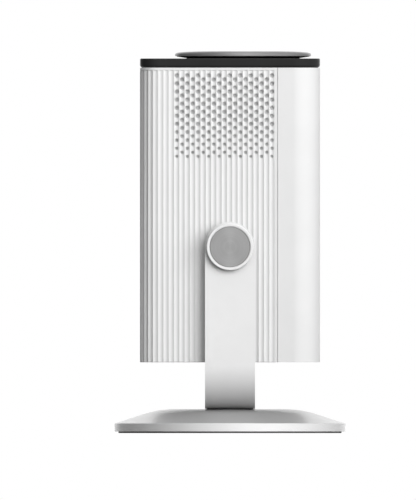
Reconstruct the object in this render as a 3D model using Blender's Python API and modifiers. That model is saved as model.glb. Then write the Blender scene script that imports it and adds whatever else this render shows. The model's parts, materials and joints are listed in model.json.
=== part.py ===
"""A tower projector that tilts in a yoke on a round weighted base.

Metres, +Z up. The lens looks along +X, the tilt axis lies along Y, and the origin is on the table
under the middle of the base. Every piece of the object is one named object.
"""

import math

import bmesh
import bpy
from mathutils import Vector

GAP = 0.0003  # clearance between pieces that touch, rest on or fit in each other

# base
BASE_RADIUS = 0.075
BASE_HEIGHT = 0.0155  # table to the flat top that the yoke stands on
BASE_TOP_FLAT_RADIUS = 0.036
BASE_SHOULDER_RADIUS = 0.0463  # where the cone would meet the flat top if it were not rounded
BASE_RIM_HEIGHT = 0.005
BASE_EDGE = 0.0005
BASE_WALL = 0.004
BASE_SKIRT = 0.0045
FOOT_THICKNESS = 0.001
FOOT_INSET = 0.0025
WEIGHT_CLEARANCE = 0.001

# yoke, a flat bar bent into a U
YOKE_WIDTH = 0.0325
YOKE_THICKNESS = 0.004
YOKE_BEND_RADIUS = 0.028  # outer face of each bend
YOKE_SCREW_SPACING = 0.044
YOKE_SCREW_RADIUS = 0.002
YOKE_SCREW_HEAD_RADIUS = 0.0038
YOKE_SCREW_HEAD_HEIGHT = 0.0024
YOKE_SCREW_CLEARANCE = 0.0004

# tilt hinge
PIVOT_HEIGHT = 0.121
SIDE_CLEARANCE = 0.003  # casing side to the inner face of the yoke's arm
SHAFT_RADIUS = 0.005
SHAFT_LENGTH_INSIDE = 0.017  # from the casing's side inwards
SHAFT_HEAD_RADIUS = 0.008
SHAFT_HEAD_HEIGHT = 0.0012
HUB_SPACER_RADIUS = 0.013
HUB_SPACER_THICKNESS = 0.0014
SPRING_WASHER_THICKNESS = 0.0006
SPRING_WASHER_RADIUS = 0.0075
PIVOT_RING_RADIUS = 0.01525
PIVOT_RING_HEIGHT = 0.0037
PIVOT_RING_CHAMFER = 0.0006
PIVOT_RING_BORE = 0.0105
PIVOT_FACE_RADIUS = 0.013
PIVOT_FACE_THICKNESS = 0.001
PIVOT_FACE_RECESS = 0.0003

# casing
BODY_DEPTH = 0.117  # along X
BODY_WIDTH = 0.114  # along Y
FRONT_CORNER_RADIUS = 0.0175
REAR_CORNER_RADIUS = 0.012
LOWER_REACH = 0.075  # tilt axis down to the casing's lower edge
TRAY_RISE = 0.024  # tilt axis up to the top of the optics tray
OPTICS_BAY_HEIGHT = 0.0925  # top of the tray to the casing's upper edge
FRONT_COVER_DEPTH = 0.0277  # the smooth front cover starts this far behind the front
SHELL_WALL = 0.0026
FLUTE_COUNT = 81
FLUTE_DEPTH = 0.0007
FLUTE_LAND = 0.0018  # plain strip beside each seam
FLUTE_STEPS = 4
TONGUE_LENGTH = 0.004
TONGUE_THICKNESS = 0.0015
TOP_CAP_THICKNESS = 0.0057
TOP_CAP_ROOF = 0.0025
TOP_CAP_WALL = 0.0042
TOP_CAP_EDGE = 0.001
BOTTOM_COVER_THICKNESS = 0.0025
BOTTOM_COVER_RECESS = 0.003
VENT_SLOT_WIDTH = 0.0014
VENT_SLOT_HEIGHT = 0.048
VENT_SLOT_COUNT = 17  # odd like the flutes, so that each slot lies in one
INTAKE_SLOT_COUNT = 7
INTAKE_SLOT_WIDTH = 0.003
INTAKE_SLOT_LENGTH = 0.040
INTAKE_SLOT_PITCH = 0.009

# chassis inside the casing
CHASSIS_SIDE_GAP = 0.0029  # casing wall to chassis
CHASSIS_DEPTH = 0.036
CHASSIS_WALL = 0.003
CHASSIS_WEB = 0.004
CHASSIS_BOSS_RADIUS = 0.011
TRAY_THICKNESS = 0.0027
TRAY_FRONT_INSET = 0.0225
TRAY_REAR = -0.022
COVER_SCREW_RADIUS = 0.0013
COVER_SCREW_HEAD_RADIUS = 0.0026
COVER_SCREW_HEAD_HEIGHT = 0.0016
COVER_SCREW_LENGTH = 0.006
COVER_SCREW_X = 0.012
COVER_SCREW_Y = 0.036

# dial on the top cap
DIAL_FRONT_INSET = 0.050  # front of the casing to the dial's axis
DIAL_RADIUS = 0.0442
DIAL_HEIGHT = 0.0046  # top cap to the crown of the dial
DIAL_NECK_RADIUS = 0.0372
DIAL_SKIRT_HEIGHT = 0.0011
DIAL_PLATE = 0.0012
DIAL_HUB_RADIUS = 0.008
DIAL_HUB_LENGTH = 0.0075
ENCODER_RADIUS = 0.016
ENCODER_HEIGHT = 0.004

# power button on the top cap
BUTTON_REAR_INSET = 0.013  # rear of the casing to the button's axis
BUTTON_RADIUS = 0.0056
BUTTON_FLANGE_RADIUS = 0.0072
BUTTON_FLANGE_HEIGHT = 0.0017
BUTTON_TRAVEL = 0.001
SWITCH_SIZE = 0.006
SWITCH_BOARD_SIZE = 0.015
SWITCH_BOARD_THICKNESS = 0.0016
SWITCH_HEIGHT = 0.005

# optics
LENS_RISE = 0.040  # top of the tray to the lens axis
LENS_OPENING_RADIUS = 0.0312
BEZEL_WIDTH = 0.0037
BEZEL_DEPTH = 0.0033
WINDOW_THICKNESS = 0.0012
WINDOW_RECESS = 0.0008
SHROUD_INSET = 0.0103  # front of the casing to the rear of the shroud
SHROUD_BORE = 0.015
ENGINE_INSET = 0.0325  # front of the casing to the front of the engine
ENGINE_LENGTH = 0.038
ENGINE_WIDTH = 0.052
ENGINE_RISE = 0.023  # lens axis to the top of the engine
BARREL_RADIUS = 0.0143
BARREL_BORE = 0.0118
BARREL_INSET = 0.0125  # front of the casing to the front of the barrel
BARREL_LENGTH = 0.0155
FOCUS_TRAVEL = 0.0015  # each way
MOUNT_WALL = 0.002
MOUNT_FLANGE_RADIUS = 0.019
MOUNT_FLANGE_THICKNESS = 0.0027
MOUNT_LENGTH = 0.0142
LENS_THICKNESS = 0.005
LENS_BULGE = 0.0014
FOCUS_SCREW_INBOARD = 0.0017  # edge of the window to the focus screw's axis, seen from the front
FOCUS_SCREW_RADIUS = 0.0013
FOCUS_SCREW_INSET = 0.007  # front of the casing to the tip of the focus screw
FOCUS_MOTOR_RADIUS = 0.004
FOCUS_MOTOR_LENGTH = 0.010
FOCUS_LUG_WIDTH = 0.008
FOCUS_LUG_THICKNESS = 0.003
SENSOR_DROP = 0.045  # lens axis down to the focus sensor's window
SENSOR_LENGTH = 0.020
SENSOR_HEIGHT = 0.007

# cooling
FAN_SIZE = 0.056
FAN_DEPTH = 0.012
FAN_CORNER_RADIUS = 0.004
FAN_STRUT_DEPTH = 0.0025
FAN_STRUT_WIDTH = 0.003
FAN_STRUT_MARGIN = 0.0006
FAN_INSET = 0.004  # rear of the casing to the fan
FAN_DUCT_RADIUS = 0.0265
FAN_TIP_RADIUS = 0.0255
FAN_HUB_RADIUS = 0.010
FAN_BLADES = 7
FAN_BLADE_DEPTH = 0.007
FAN_BLADE_TWIST = math.radians(24)
FAN_BLADE_ROOT = 0.006  # hub to the waist of a blade
FAN_BLADE_SWEEP = 0.35  # radians
FAN_BLADE_ARC = 0.30
FAN_ROTOR_SETBACK = 0.001
HEAT_SINK_INSET = 0.0175  # rear of the casing to the tips of the fins
HEAT_SINK_DEPTH = 0.0207
HEAT_SINK_BASE = 0.003
HEAT_SINK_FINS = 9
HEAT_SINK_FIN_THICKNESS = 0.0012
HEAT_SINK_MARGIN = 0.002
LIGHT_SOURCE_WIDTH = 0.030
LIGHT_SOURCE_HEIGHT = 0.026

# electronics
BATTERY_SIZE = (0.040, 0.080, 0.038)
BOARD_INSET = 0.0145  # rear of the casing to the middle of the board
BOARD_THICKNESS = 0.0016
BOARD_WIDTH = 0.080
BOARD_RISE = 0.014  # casing's lower edge to the board
BOARD_DROP = 0.017  # fan down to the board
SPEAKER_X = -0.0035
SPEAKER_DROP = 0.0312  # casing's upper edge to the speaker's axis
SPEAKER_RADIUS = 0.024
SPEAKER_DEPTH = 0.020
PANEL_WIDTH = 0.064
PANEL_HEIGHT = 0.024
PANEL_RISE = 0.032  # casing's lower edge to the middle of the sockets
PANEL_CORNER = 0.004
PANEL_THICKNESS = 0.002
PANEL_RECESS = 0.001
PORT_WALL = 0.0007
HDMI_OPENING = (0.0139, 0.0046)
HDMI_Y = -0.0125
USB_OPENING = (0.0128, 0.0054)
USB_Y = 0.0065
PORT_CAVITY = 0.009
JACK_Y = -0.0265
JACK_RADIUS = 0.0035
JACK_BORE = 0.0018
INLET_Y = 0.0225
INLET_RADIUS = 0.0046
INLET_BORE = 0.0031
INLET_PIN = 0.0009

# sizes that follow from the ones above
SIDE_Y = BODY_WIDTH / 2
FRONT_X = BODY_DEPTH / 2
REAR_X = -BODY_DEPTH / 2
ARM_INNER_Y = SIDE_Y + SIDE_CLEARANCE
ARM_OUTER_Y = ARM_INNER_Y + YOKE_THICKNESS
YOKE_BOTTOM = BASE_HEIGHT + GAP
RIM_BOTTOM = FOOT_THICKNESS + GAP
SEAM_X = FRONT_X - FRONT_COVER_DEPTH
TRAY_TOP = PIVOT_HEIGHT + TRAY_RISE
CHASSIS_TOP = TRAY_TOP - TRAY_THICKNESS - GAP
SHELL_TOP = TRAY_TOP + OPTICS_BAY_HEIGHT
BODY_BOTTOM = PIVOT_HEIGHT - LOWER_REACH
SHELL_HEIGHT = SHELL_TOP - BODY_BOTTOM
CAP_BOTTOM = SHELL_TOP + GAP
CAP_TOP = CAP_BOTTOM + TOP_CAP_THICKNESS
ROOF_BOTTOM = CAP_TOP - TOP_CAP_ROOF
COVER_BOTTOM = BODY_BOTTOM + BOTTOM_COVER_RECESS
WEB_BOTTOM = COVER_BOTTOM + BOTTOM_COVER_THICKNESS + GAP
WEB_TOP = WEB_BOTTOM + CHASSIS_WEB
CHASSIS_WIDTH = BODY_WIDTH - 2 * (SHELL_WALL + CHASSIS_SIDE_GAP)
TRAY_FRONT = FRONT_X - TRAY_FRONT_INSET
DIAL_X = FRONT_X - DIAL_FRONT_INSET
BUTTON_X = REAR_X + BUTTON_REAR_INSET
LENS_HEIGHT = TRAY_TOP + LENS_RISE
WINDOW_RADIUS = LENS_OPENING_RADIUS - GAP - BEZEL_WIDTH
FOCUS_SCREW_DROP = WINDOW_RADIUS - FOCUS_SCREW_INBOARD
SHROUD_REAR_X = FRONT_X - SHROUD_INSET
ENGINE_FRONT = FRONT_X - ENGINE_INSET
ENGINE_REAR = ENGINE_FRONT - ENGINE_LENGTH
ENGINE_TOP = LENS_HEIGHT + ENGINE_RISE
BARREL_FRONT_X = FRONT_X - BARREL_INSET
BARREL_REAR_X = BARREL_FRONT_X - BARREL_LENGTH
MOUNT_FRONT_X = ENGINE_FRONT + GAP + MOUNT_LENGTH
FOCUS_SCREW_FRONT_X = FRONT_X - FOCUS_SCREW_INSET
FAN_REAR_X = REAR_X + FAN_INSET
HEAT_SINK_REAR_X = REAR_X + HEAT_SINK_INSET
HEAT_SINK_FRONT_X = HEAT_SINK_REAR_X + HEAT_SINK_DEPTH
BOARD_X = REAR_X + BOARD_INSET
BOARD_LOW = BODY_BOTTOM + BOARD_RISE
BOARD_HIGH = LENS_HEIGHT - FAN_SIZE / 2 - BOARD_DROP
SPEAKER_HEIGHT = SHELL_TOP - SPEAKER_DROP
PANEL_CENTRE_HEIGHT = BODY_BOTTOM + PANEL_RISE
SIDES = (("right", -1), ("left", 1))  # as seen by someone looking the way the lens looks

TURNS = {
    "+X": (0, math.pi / 2, 0),
    "-X": (0, -math.pi / 2, 0),
    "+Y": (-math.pi / 2, 0, 0),
    "-Y": (math.pi / 2, 0, 0),
    "+Z": (0, 0, 0),
    "-Z": (math.pi, 0, 0),
}
PLANE_XY = (0, 0, 0)
PLANE_YZ = (math.pi / 2, 0, math.pi / 2)

FINISHES = {
    "white_shell": ((0.84, 0.84, 0.84), 0.42, 0.0),
    "white_metal": ((0.80, 0.80, 0.80), 0.40, 0.3),
    "silver": ((0.62, 0.62, 0.63), 0.30, 1.0),
    "spun_metal": ((0.55, 0.55, 0.55), 0.28, 1.0),
    "black_gloss": ((0.03, 0.03, 0.03), 0.25, 0.0),
    "black_plastic": ((0.03, 0.03, 0.03), 0.55, 0.0),
    "rubber": ((0.05, 0.05, 0.05), 0.8, 0.0),
    "steel": ((0.50, 0.50, 0.50), 0.35, 1.0),
    "cast_metal": ((0.35, 0.35, 0.36), 0.5, 1.0),
    "glass": ((0.75, 0.80, 0.85), 0.05, 0.0),
    "dark_glass": ((0.04, 0.04, 0.05), 0.08, 0.0),
    "board_green": ((0.05, 0.22, 0.10), 0.5, 0.0),
    "battery_wrap": ((0.10, 0.16, 0.30), 0.45, 0.0),
    "cone_paper": ((0.06, 0.06, 0.06), 0.9, 0.0),
}


def start_scene():
    for obj in list(bpy.data.objects):
        bpy.data.objects.remove(obj)
    made = []
    for name in ("tower_projector", "cutters"):
        collection = bpy.data.collections.new(name)
        bpy.context.scene.collection.children.link(collection)
        made.append(collection)
    return made


def make_finish(name):
    colour, roughness, metallic = FINISHES[name]
    finish = bpy.data.materials.new(name)
    finish.use_nodes = True
    shader = finish.node_tree.nodes["Principled BSDF"]
    shader.inputs["Base Color"].default_value = (*colour, 1)
    shader.inputs["Roughness"].default_value = roughness
    shader.inputs["Metallic"].default_value = metallic
    return finish


PARTS, CUTTERS = start_scene()
FINISH = {name: make_finish(name) for name in FINISHES}


def add(obj, finish):
    """Puts a piece in the object's collection, or a cutter, which has no finish, in the other one."""
    if finish is None:
        CUTTERS.objects.link(obj)
        obj.hide_render = True
        obj.display_type = "WIRE"
        return obj
    PARTS.objects.link(obj)
    obj.data.materials.append(FINISH[finish])
    return obj


def place(obj, at, turn=(0, 0, 0)):
    obj.location = at
    obj.rotation_euler = turn
    return obj


def object_from(name, mesh_builder, finish):
    mesh = bpy.data.meshes.new(name)
    mesh.from_pydata([], [], [])
    mesh_builder.to_mesh(mesh)
    mesh_builder.free()
    return add(bpy.data.objects.new(name, mesh), finish)


def box(name, low, high, finish=None):
    """A box from its lowest to its highest corner."""
    low, high = Vector(low), Vector(high)
    built = bmesh.new()
    bmesh.ops.create_cube(built, size=1)
    bmesh.ops.scale(built, vec=high - low, verts=built.verts)
    return place(object_from(name, built, finish), (low + high) / 2)


def cylinder(name, radius, length, at, axis, sides=24, finish=None):
    """A cylinder whose middle is at a point."""
    built = bmesh.new()
    bmesh.ops.create_cone(
        built, cap_ends=True, segments=sides, radius1=radius, radius2=radius, depth=length
    )
    return place(object_from(name, built, finish), at, TURNS[axis])


def turned(name, profile, at, axis, steps, finish=None):
    """A turned piece. The profile lists (radius, height) down the outer side, and closes itself
    unless it starts and ends on the axis."""
    on_axis = profile[0][0] == 0 and profile[-1][0] == 0
    points = [(radius, 0, height) for radius, height in profile]
    edges = [(i, i + 1) for i in range(len(points) - 1)]
    if not on_axis:
        edges.append((len(points) - 1, 0))
    mesh = bpy.data.meshes.new(name)
    mesh.from_pydata(points, edges, [])
    obj = add(bpy.data.objects.new(name, mesh), finish)
    screw = obj.modifiers.new("turn", "SCREW")
    screw.steps = screw.render_steps = steps
    screw.use_merge_vertices = True
    screw.merge_threshold = 0.00001
    screw.use_smooth_shade = True
    return place(obj, at, TURNS[axis])


def tube_profile(inner, outer, low, high):
    return [(inner, high), (outer, high), (outer, low), (inner, low)]


def prism(name, outlines, thickness, at, turn=PLANE_XY, finish=None):
    """A flat outline, with its holes, given a thickness: a welded mesh made from a 2D curve."""
    curve = bpy.data.curves.new(name, "CURVE")
    curve.dimensions = "2D"
    curve.fill_mode = "BOTH"
    curve.extrude = thickness / 2
    for outline in outlines:
        spline = curve.splines.new("POLY")
        spline.points.add(len(outline) - 1)
        for point, (x, y) in zip(spline.points, outline):
            point.co = (x, y, 0, 1)
        spline.use_cyclic_u = True
    drawn = place(bpy.data.objects.new(name + "_outline", curve), at, turn)
    CUTTERS.objects.link(drawn)
    bpy.context.view_layer.update()
    seen = drawn.evaluated_get(bpy.context.evaluated_depsgraph_get())
    mesh = bpy.data.meshes.new_from_object(seen)
    obj = bpy.data.objects.new(name, mesh)
    obj.matrix_world = drawn.matrix_world
    bpy.data.objects.remove(drawn)
    built = bmesh.new()
    built.from_mesh(mesh)
    bmesh.ops.remove_doubles(built, verts=built.verts, dist=0.00001)
    bmesh.ops.dissolve_limit(
        built, angle_limit=math.radians(0.5), verts=built.verts, edges=built.edges
    )
    bmesh.ops.recalc_face_normals(built, faces=built.faces)
    built.to_mesh(mesh)
    built.free()
    mesh.materials.clear()
    return add(obj, finish)


def combine(obj, other, operation="DIFFERENCE", solver="EXACT"):
    step = obj.modifiers.new(operation.lower(), "BOOLEAN")
    step.operation = operation
    step.solver = solver
    step.object = other
    return obj


def round_edges(obj, width, segments=2):
    bevel = obj.modifiers.new("edges", "BEVEL")
    bevel.width = width
    bevel.segments = segments
    bevel.limit_method = "ANGLE"
    bevel.angle_limit = math.radians(50)
    return obj


def circle(radius, sides, centre=(0, 0)):
    step = 2 * math.pi / sides
    return [
        (centre[0] + radius * math.cos(i * step), centre[1] + radius * math.sin(i * step))
        for i in range(sides)
    ]


def rounded_rectangle(width, height, radius, steps=4, centre=(0, 0)):
    points = []
    for quarter, (side, end) in enumerate(((1, 1), (-1, 1), (-1, -1), (1, -1))):
        for i in range(steps + 1):
            angle = (quarter + i / steps) * math.pi / 2
            points.append(
                (
                    centre[0] + side * (width / 2 - radius) + radius * math.cos(angle),
                    centre[1] + end * (height / 2 - radius) + radius * math.sin(angle),
                )
            )
    return points


def casing_outline(inset, steps=8):
    """The casing's plan, moved in from its outer face."""
    points = []
    for quarter, (end, side) in enumerate(((1, 1), (-1, 1), (-1, -1), (1, -1))):
        corner = FRONT_CORNER_RADIUS if end > 0 else REAR_CORNER_RADIUS
        centre = (end * (BODY_DEPTH / 2 - corner), side * (BODY_WIDTH / 2 - corner))
        for i in range(steps + 1):
            angle = (quarter + i / steps) * math.pi / 2
            points.append(
                (
                    centre[0] + (corner - inset) * math.cos(angle),
                    centre[1] + (corner - inset) * math.sin(angle),
                )
            )
    return points


# ---------------------------------------------------------------- stand


def base_outer_profile():
    """From the middle of the flat top, over the shoulder and the cone, to the rim's lower edge."""
    rim_top = RIM_BOTTOM + BASE_RIM_HEIGHT
    slope_start = (BASE_RADIUS - BASE_EDGE, rim_top + BASE_EDGE / 2)
    corner = Vector((BASE_SHOULDER_RADIUS, BASE_HEIGHT))
    blend = BASE_SHOULDER_RADIUS - BASE_TOP_FLAT_RADIUS
    fall = (BASE_HEIGHT - slope_start[1]) / (slope_start[0] - BASE_SHOULDER_RADIUS)
    start = corner - Vector((blend, 0))
    end = corner + Vector((blend, -blend * fall))
    shoulder = []
    for i in range(5):
        t = i / 4
        shoulder.append(tuple((1 - t) ** 2 * start + 2 * t * (1 - t) * corner + t**2 * end))
    rim = [
        slope_start,
        (BASE_RADIUS, rim_top - BASE_EDGE / 2),
        (BASE_RADIUS, RIM_BOTTOM + BASE_EDGE),
        (BASE_RADIUS - BASE_EDGE, RIM_BOTTOM),
    ]
    return [(0, BASE_HEIGHT), *shoulder, *rim], fall


def build_base():
    outer, fall = base_outer_profile()
    pocket_radius = BASE_RADIUS - BASE_SKIRT
    ceiling = BASE_HEIGHT - BASE_WALL
    pocket_rise = pocket_radius - BASE_SHOULDER_RADIUS + BASE_SKIRT / 2
    pocket_edge = ceiling - fall * pocket_rise
    ceiling_radius = pocket_radius - pocket_rise
    pocket = [
        (pocket_radius, RIM_BOTTOM),
        (pocket_radius, pocket_edge),
        (ceiling_radius, ceiling),
        (0, ceiling),
    ]
    plate = turned("base_plate", outer + pocket, (0, 0, 0), "+Z", 40, "silver")
    for index, y in enumerate((-YOKE_SCREW_SPACING / 2, YOKE_SCREW_SPACING / 2), 1):
        hole = YOKE_SCREW_RADIUS + YOKE_SCREW_CLEARANCE
        cutter = cylinder(
            f"base_hole_{index}", hole, 3 * BASE_WALL, (0, y, BASE_HEIGHT), "+Z", sides=16
        )
        combine(plate, cutter)
        build_yoke_screw(index, y, ceiling)

    weight_top = ceiling - YOKE_SCREW_HEAD_HEIGHT - 2 * GAP - WEIGHT_CLEARANCE / 2
    weight_drop = ceiling - weight_top
    weight = [
        (0, weight_top),
        (ceiling_radius + weight_drop / fall - 2 * WEIGHT_CLEARANCE, weight_top),
        (pocket_radius - WEIGHT_CLEARANCE, pocket_edge - WEIGHT_CLEARANCE / 2),
        (pocket_radius - WEIGHT_CLEARANCE, RIM_BOTTOM),
        (0, RIM_BOTTOM),
    ]
    turned("base_weight", weight, (0, 0, 0), "+Z", 32, "steel")
    foot_radius = BASE_RADIUS - FOOT_INSET
    foot = [(0, FOOT_THICKNESS), (foot_radius, FOOT_THICKNESS), (foot_radius, 0), (0, 0)]
    turned("foot_pad", foot, (0, 0, 0), "+Z", 40, "rubber")


def build_yoke_screw(index, y, ceiling):
    """A pan-head screw from under the base, with its tip inside the yoke."""
    head_top = ceiling - GAP
    tip = YOKE_BOTTOM + YOKE_THICKNESS - GAP
    socket = YOKE_SCREW_HEAD_RADIUS * 0.35
    head_bottom = head_top - YOKE_SCREW_HEAD_HEIGHT
    profile = [
        (0, tip),
        (YOKE_SCREW_RADIUS, tip),
        (YOKE_SCREW_RADIUS, head_top),
        (YOKE_SCREW_HEAD_RADIUS, head_top),
        (YOKE_SCREW_HEAD_RADIUS, head_bottom),
        (socket, head_bottom),
        (socket, head_bottom + YOKE_SCREW_HEAD_HEIGHT / 2),
        (0, head_bottom + YOKE_SCREW_HEAD_HEIGHT / 2),
    ]
    turned(f"yoke_screw_{index}", profile, (0, y, 0), "+Z", 12, "steel")


def build_yoke():
    """A flat bar with round ends and drilled holes, bent up at both ends."""
    flat = ARM_OUTER_Y - YOKE_BEND_RADIUS
    bend = YOKE_BEND_RADIUS * math.pi / 2
    pivot = flat + bend + PIVOT_HEIGHT - YOKE_BOTTOM - YOKE_BEND_RADIUS
    end_radius = YOKE_WIDTH / 2
    outline = []
    for side in (1, -1):
        for i in range(17):
            angle = side * math.pi / 2 - math.pi / 2 + math.pi * i / 16
            outline.append(
                (end_radius * math.cos(angle), side * pivot + end_radius * math.sin(angle))
            )
    bore = SHAFT_RADIUS + GAP
    holes = [circle(bore, 24, (0, side * pivot)) for side in (1, -1)]
    screw_hole = YOKE_SCREW_RADIUS + GAP
    holes += [circle(screw_hole, 16, (0, side * YOKE_SCREW_SPACING / 2)) for side in (1, -1)]
    yoke = prism(
        "yoke", [outline, *holes], YOKE_THICKNESS, (0, 0, 0), finish="white_metal"
    )
    built = bmesh.new()
    built.from_mesh(yoke.data)
    bend_steps = 10
    for side in (1, -1):
        for i in range(bend_steps + 1):
            bmesh.ops.bisect_plane(
                built,
                geom=built.verts[:] + built.edges[:] + built.faces[:],
                dist=0.000001,
                plane_co=(0, side * (flat + bend * i / bend_steps), 0),
                plane_no=(0, 1, 0),
            )
    for vert in built.verts:
        along, side = abs(vert.co.y), math.copysign(1, vert.co.y)
        depth = vert.co.z + YOKE_THICKNESS / 2
        radius = YOKE_BEND_RADIUS - depth
        angle = min(max(along - flat, 0), bend) / YOKE_BEND_RADIUS
        straight = min(along, flat)
        rise = max(along - flat - bend, 0)
        vert.co.y = side * (straight + radius * math.sin(angle))
        vert.co.z = YOKE_BOTTOM + YOKE_BEND_RADIUS - radius * math.cos(angle) + rise
    built.to_mesh(yoke.data)
    built.free()


def build_pivot(name, side):
    """The stack on one side of the tilt axis, from the chassis out to the cover."""
    axis = "+Y" if side > 0 else "-Y"
    at = (0, 0, PIVOT_HEIGHT)
    bore = SHAFT_RADIUS + GAP

    spacer_low = SIDE_Y + GAP
    spacer_high = spacer_low + HUB_SPACER_THICKNESS
    spacer = tube_profile(bore, HUB_SPACER_RADIUS, spacer_low, spacer_high)
    hub = turned(f"hub_spacer_{name}", spacer, at, axis, 24, "white_shell")

    washer_low, washer_high = spacer_high + GAP, ARM_INNER_Y - GAP
    washer = tube_profile(bore, HUB_SPACER_RADIUS - GAP, washer_low, washer_high)
    turned(f"friction_washer_{name}", washer, at, axis, 24, "rubber")

    ring_low = ARM_OUTER_Y + GAP
    ring_high = ring_low + PIVOT_RING_HEIGHT
    face_high = ring_high - PIVOT_FACE_RECESS
    face_low = face_high - PIVOT_FACE_THICKNESS
    seat = face_low - GAP
    ring = [
        (PIVOT_FACE_RADIUS + GAP, ring_high),
        (PIVOT_RING_RADIUS - PIVOT_RING_CHAMFER, ring_high),
        (PIVOT_RING_RADIUS, ring_high - PIVOT_RING_CHAMFER),
        (PIVOT_RING_RADIUS, ring_low),
        (PIVOT_RING_BORE, ring_low),
        (PIVOT_RING_BORE, seat),
        (PIVOT_FACE_RADIUS + GAP, seat),
    ]
    turned(f"pivot_ring_{name}", ring, at, axis, 28, "white_metal")
    face = [(0, face_high), (PIVOT_FACE_RADIUS, face_high), (PIVOT_FACE_RADIUS, face_low), (0, face_low)]
    turned(f"pivot_face_{name}", face, at, axis, 28, "spun_metal")

    spring_high = ring_low + SPRING_WASHER_THICKNESS
    spring = tube_profile(bore, SPRING_WASHER_RADIUS, ring_low, spring_high)
    turned(f"spring_washer_{name}", spring, at, axis, 20, "steel")

    head_low = spring_high + GAP
    head_high = head_low + SHAFT_HEAD_HEIGHT
    end = SIDE_Y - SHAFT_LENGTH_INSIDE
    shaft = [
        (0, head_high),
        (SHAFT_HEAD_RADIUS, head_high),
        (SHAFT_HEAD_RADIUS, head_low),
        (SHAFT_RADIUS, head_low),
        (SHAFT_RADIUS, end),
        (0, end),
    ]
    pin = turned(f"tilt_shaft_{name}", shaft, at, axis, 20, "steel")
    return [hub, pin]


# --------------------------------------------------------------- casing


def casing_path():
    """Length of the plan from one seam round the rear to the other, and the point and outward
    direction at any distance along it."""
    straight = SEAM_X - (REAR_X + REAR_CORNER_RADIUS)
    arc = REAR_CORNER_RADIUS * math.pi / 2
    back = BODY_WIDTH - 2 * REAR_CORNER_RADIUS
    length = 2 * straight + 2 * arc + back
    corner_x = REAR_X + REAR_CORNER_RADIUS
    corner_y = SIDE_Y - REAR_CORNER_RADIUS

    def at(distance):
        near = min(distance, length - distance)
        side = -1 if distance <= length / 2 else 1
        if near <= straight:
            return Vector((SEAM_X - near, side * SIDE_Y)), Vector((0, side))
        if near <= straight + arc:
            angle = (near - straight) / REAR_CORNER_RADIUS
            out = Vector((-math.sin(angle), side * math.cos(angle)))
            return Vector((corner_x, side * corner_y)) + REAR_CORNER_RADIUS * out, out
        reach = corner_y - (near - straight - arc)
        return Vector((REAR_X, side * reach)), Vector((-1, 0))

    return length, at


def inner_half_path(front, inset, steps=8):
    """The smooth inner face of the rear shell, from its front edge on the right to the left."""
    radius = REAR_CORNER_RADIUS - inset
    points = [(front, -(SIDE_Y - inset))]
    for side, quarter in ((-1, 3), (1, 2)):
        for i in range(steps + 1):
            angle = -math.pi / 2 * (i / steps) + quarter * math.pi / 2
            centre = (REAR_X + REAR_CORNER_RADIUS, side * (SIDE_Y - REAR_CORNER_RADIUS))
            points.append(
                (centre[0] + radius * math.cos(angle), centre[1] + radius * math.sin(angle))
            )
    points.append((front, SIDE_Y - inset))
    return points


def flute_pitch():
    return (casing_path()[0] - 2 * FLUTE_LAND) / FLUTE_COUNT


def fluted_outline():
    length, at = casing_path()
    pitch = flute_pitch()
    outer = [at(0)[0]]
    for i in range(FLUTE_COUNT * FLUTE_STEPS + 1):
        phase = (i % FLUTE_STEPS) / FLUTE_STEPS
        point, out = at(FLUTE_LAND + i * pitch / FLUTE_STEPS)
        outer.append(point - FLUTE_DEPTH * (1 - (2 * phase - 1) ** 2) * out)
    outer.append(at(length)[0])
    return [tuple(point) for point in outer] + inner_half_path(SEAM_X, SHELL_WALL)[::-1]


def pivot_cutter(name, radius, reach):
    """A bar through both sides of the casing on the tilt axis."""
    return cylinder(name, radius, 2 * reach, (0, 0, PIVOT_HEIGHT), "+Y", sides=32)


def build_rear_shell():
    middle = BODY_BOTTOM + SHELL_HEIGHT / 2
    shell = prism(
        "rear_shell", [fluted_outline()], SHELL_HEIGHT, (0, 0, middle), finish="white_shell"
    )
    hub_cutter = pivot_cutter("hub_opening", CHASSIS_BOSS_RADIUS + GAP, SIDE_Y + SIDE_CLEARANCE)

    panel_cutter = prism(
        "panel_opening",
        [rounded_rectangle(PANEL_WIDTH + 2 * GAP, PANEL_HEIGHT + 2 * GAP, PANEL_CORNER)],
        0.012,
        (REAR_X, 0, PANEL_CENTRE_HEIGHT),
        PLANE_YZ,
    )

    slots = bmesh.new()
    for i in range(VENT_SLOT_COUNT):
        made = bmesh.ops.create_cube(slots, size=1)["verts"]
        bmesh.ops.scale(slots, vec=(0.012, VENT_SLOT_WIDTH, VENT_SLOT_HEIGHT), verts=made)
        offset = (0, (i - (VENT_SLOT_COUNT - 1) / 2) * flute_pitch(), 0)
        bmesh.ops.translate(slots, vec=offset, verts=made)
    slot_cutter = place(object_from("vent_slots", slots, None), (REAR_X, 0, LENS_HEIGHT))
    for cutter in (hub_cutter, panel_cutter, slot_cutter):
        combine(shell, cutter, solver="MANIFOLD")  # EXACT opens the ends of the flutes


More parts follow.
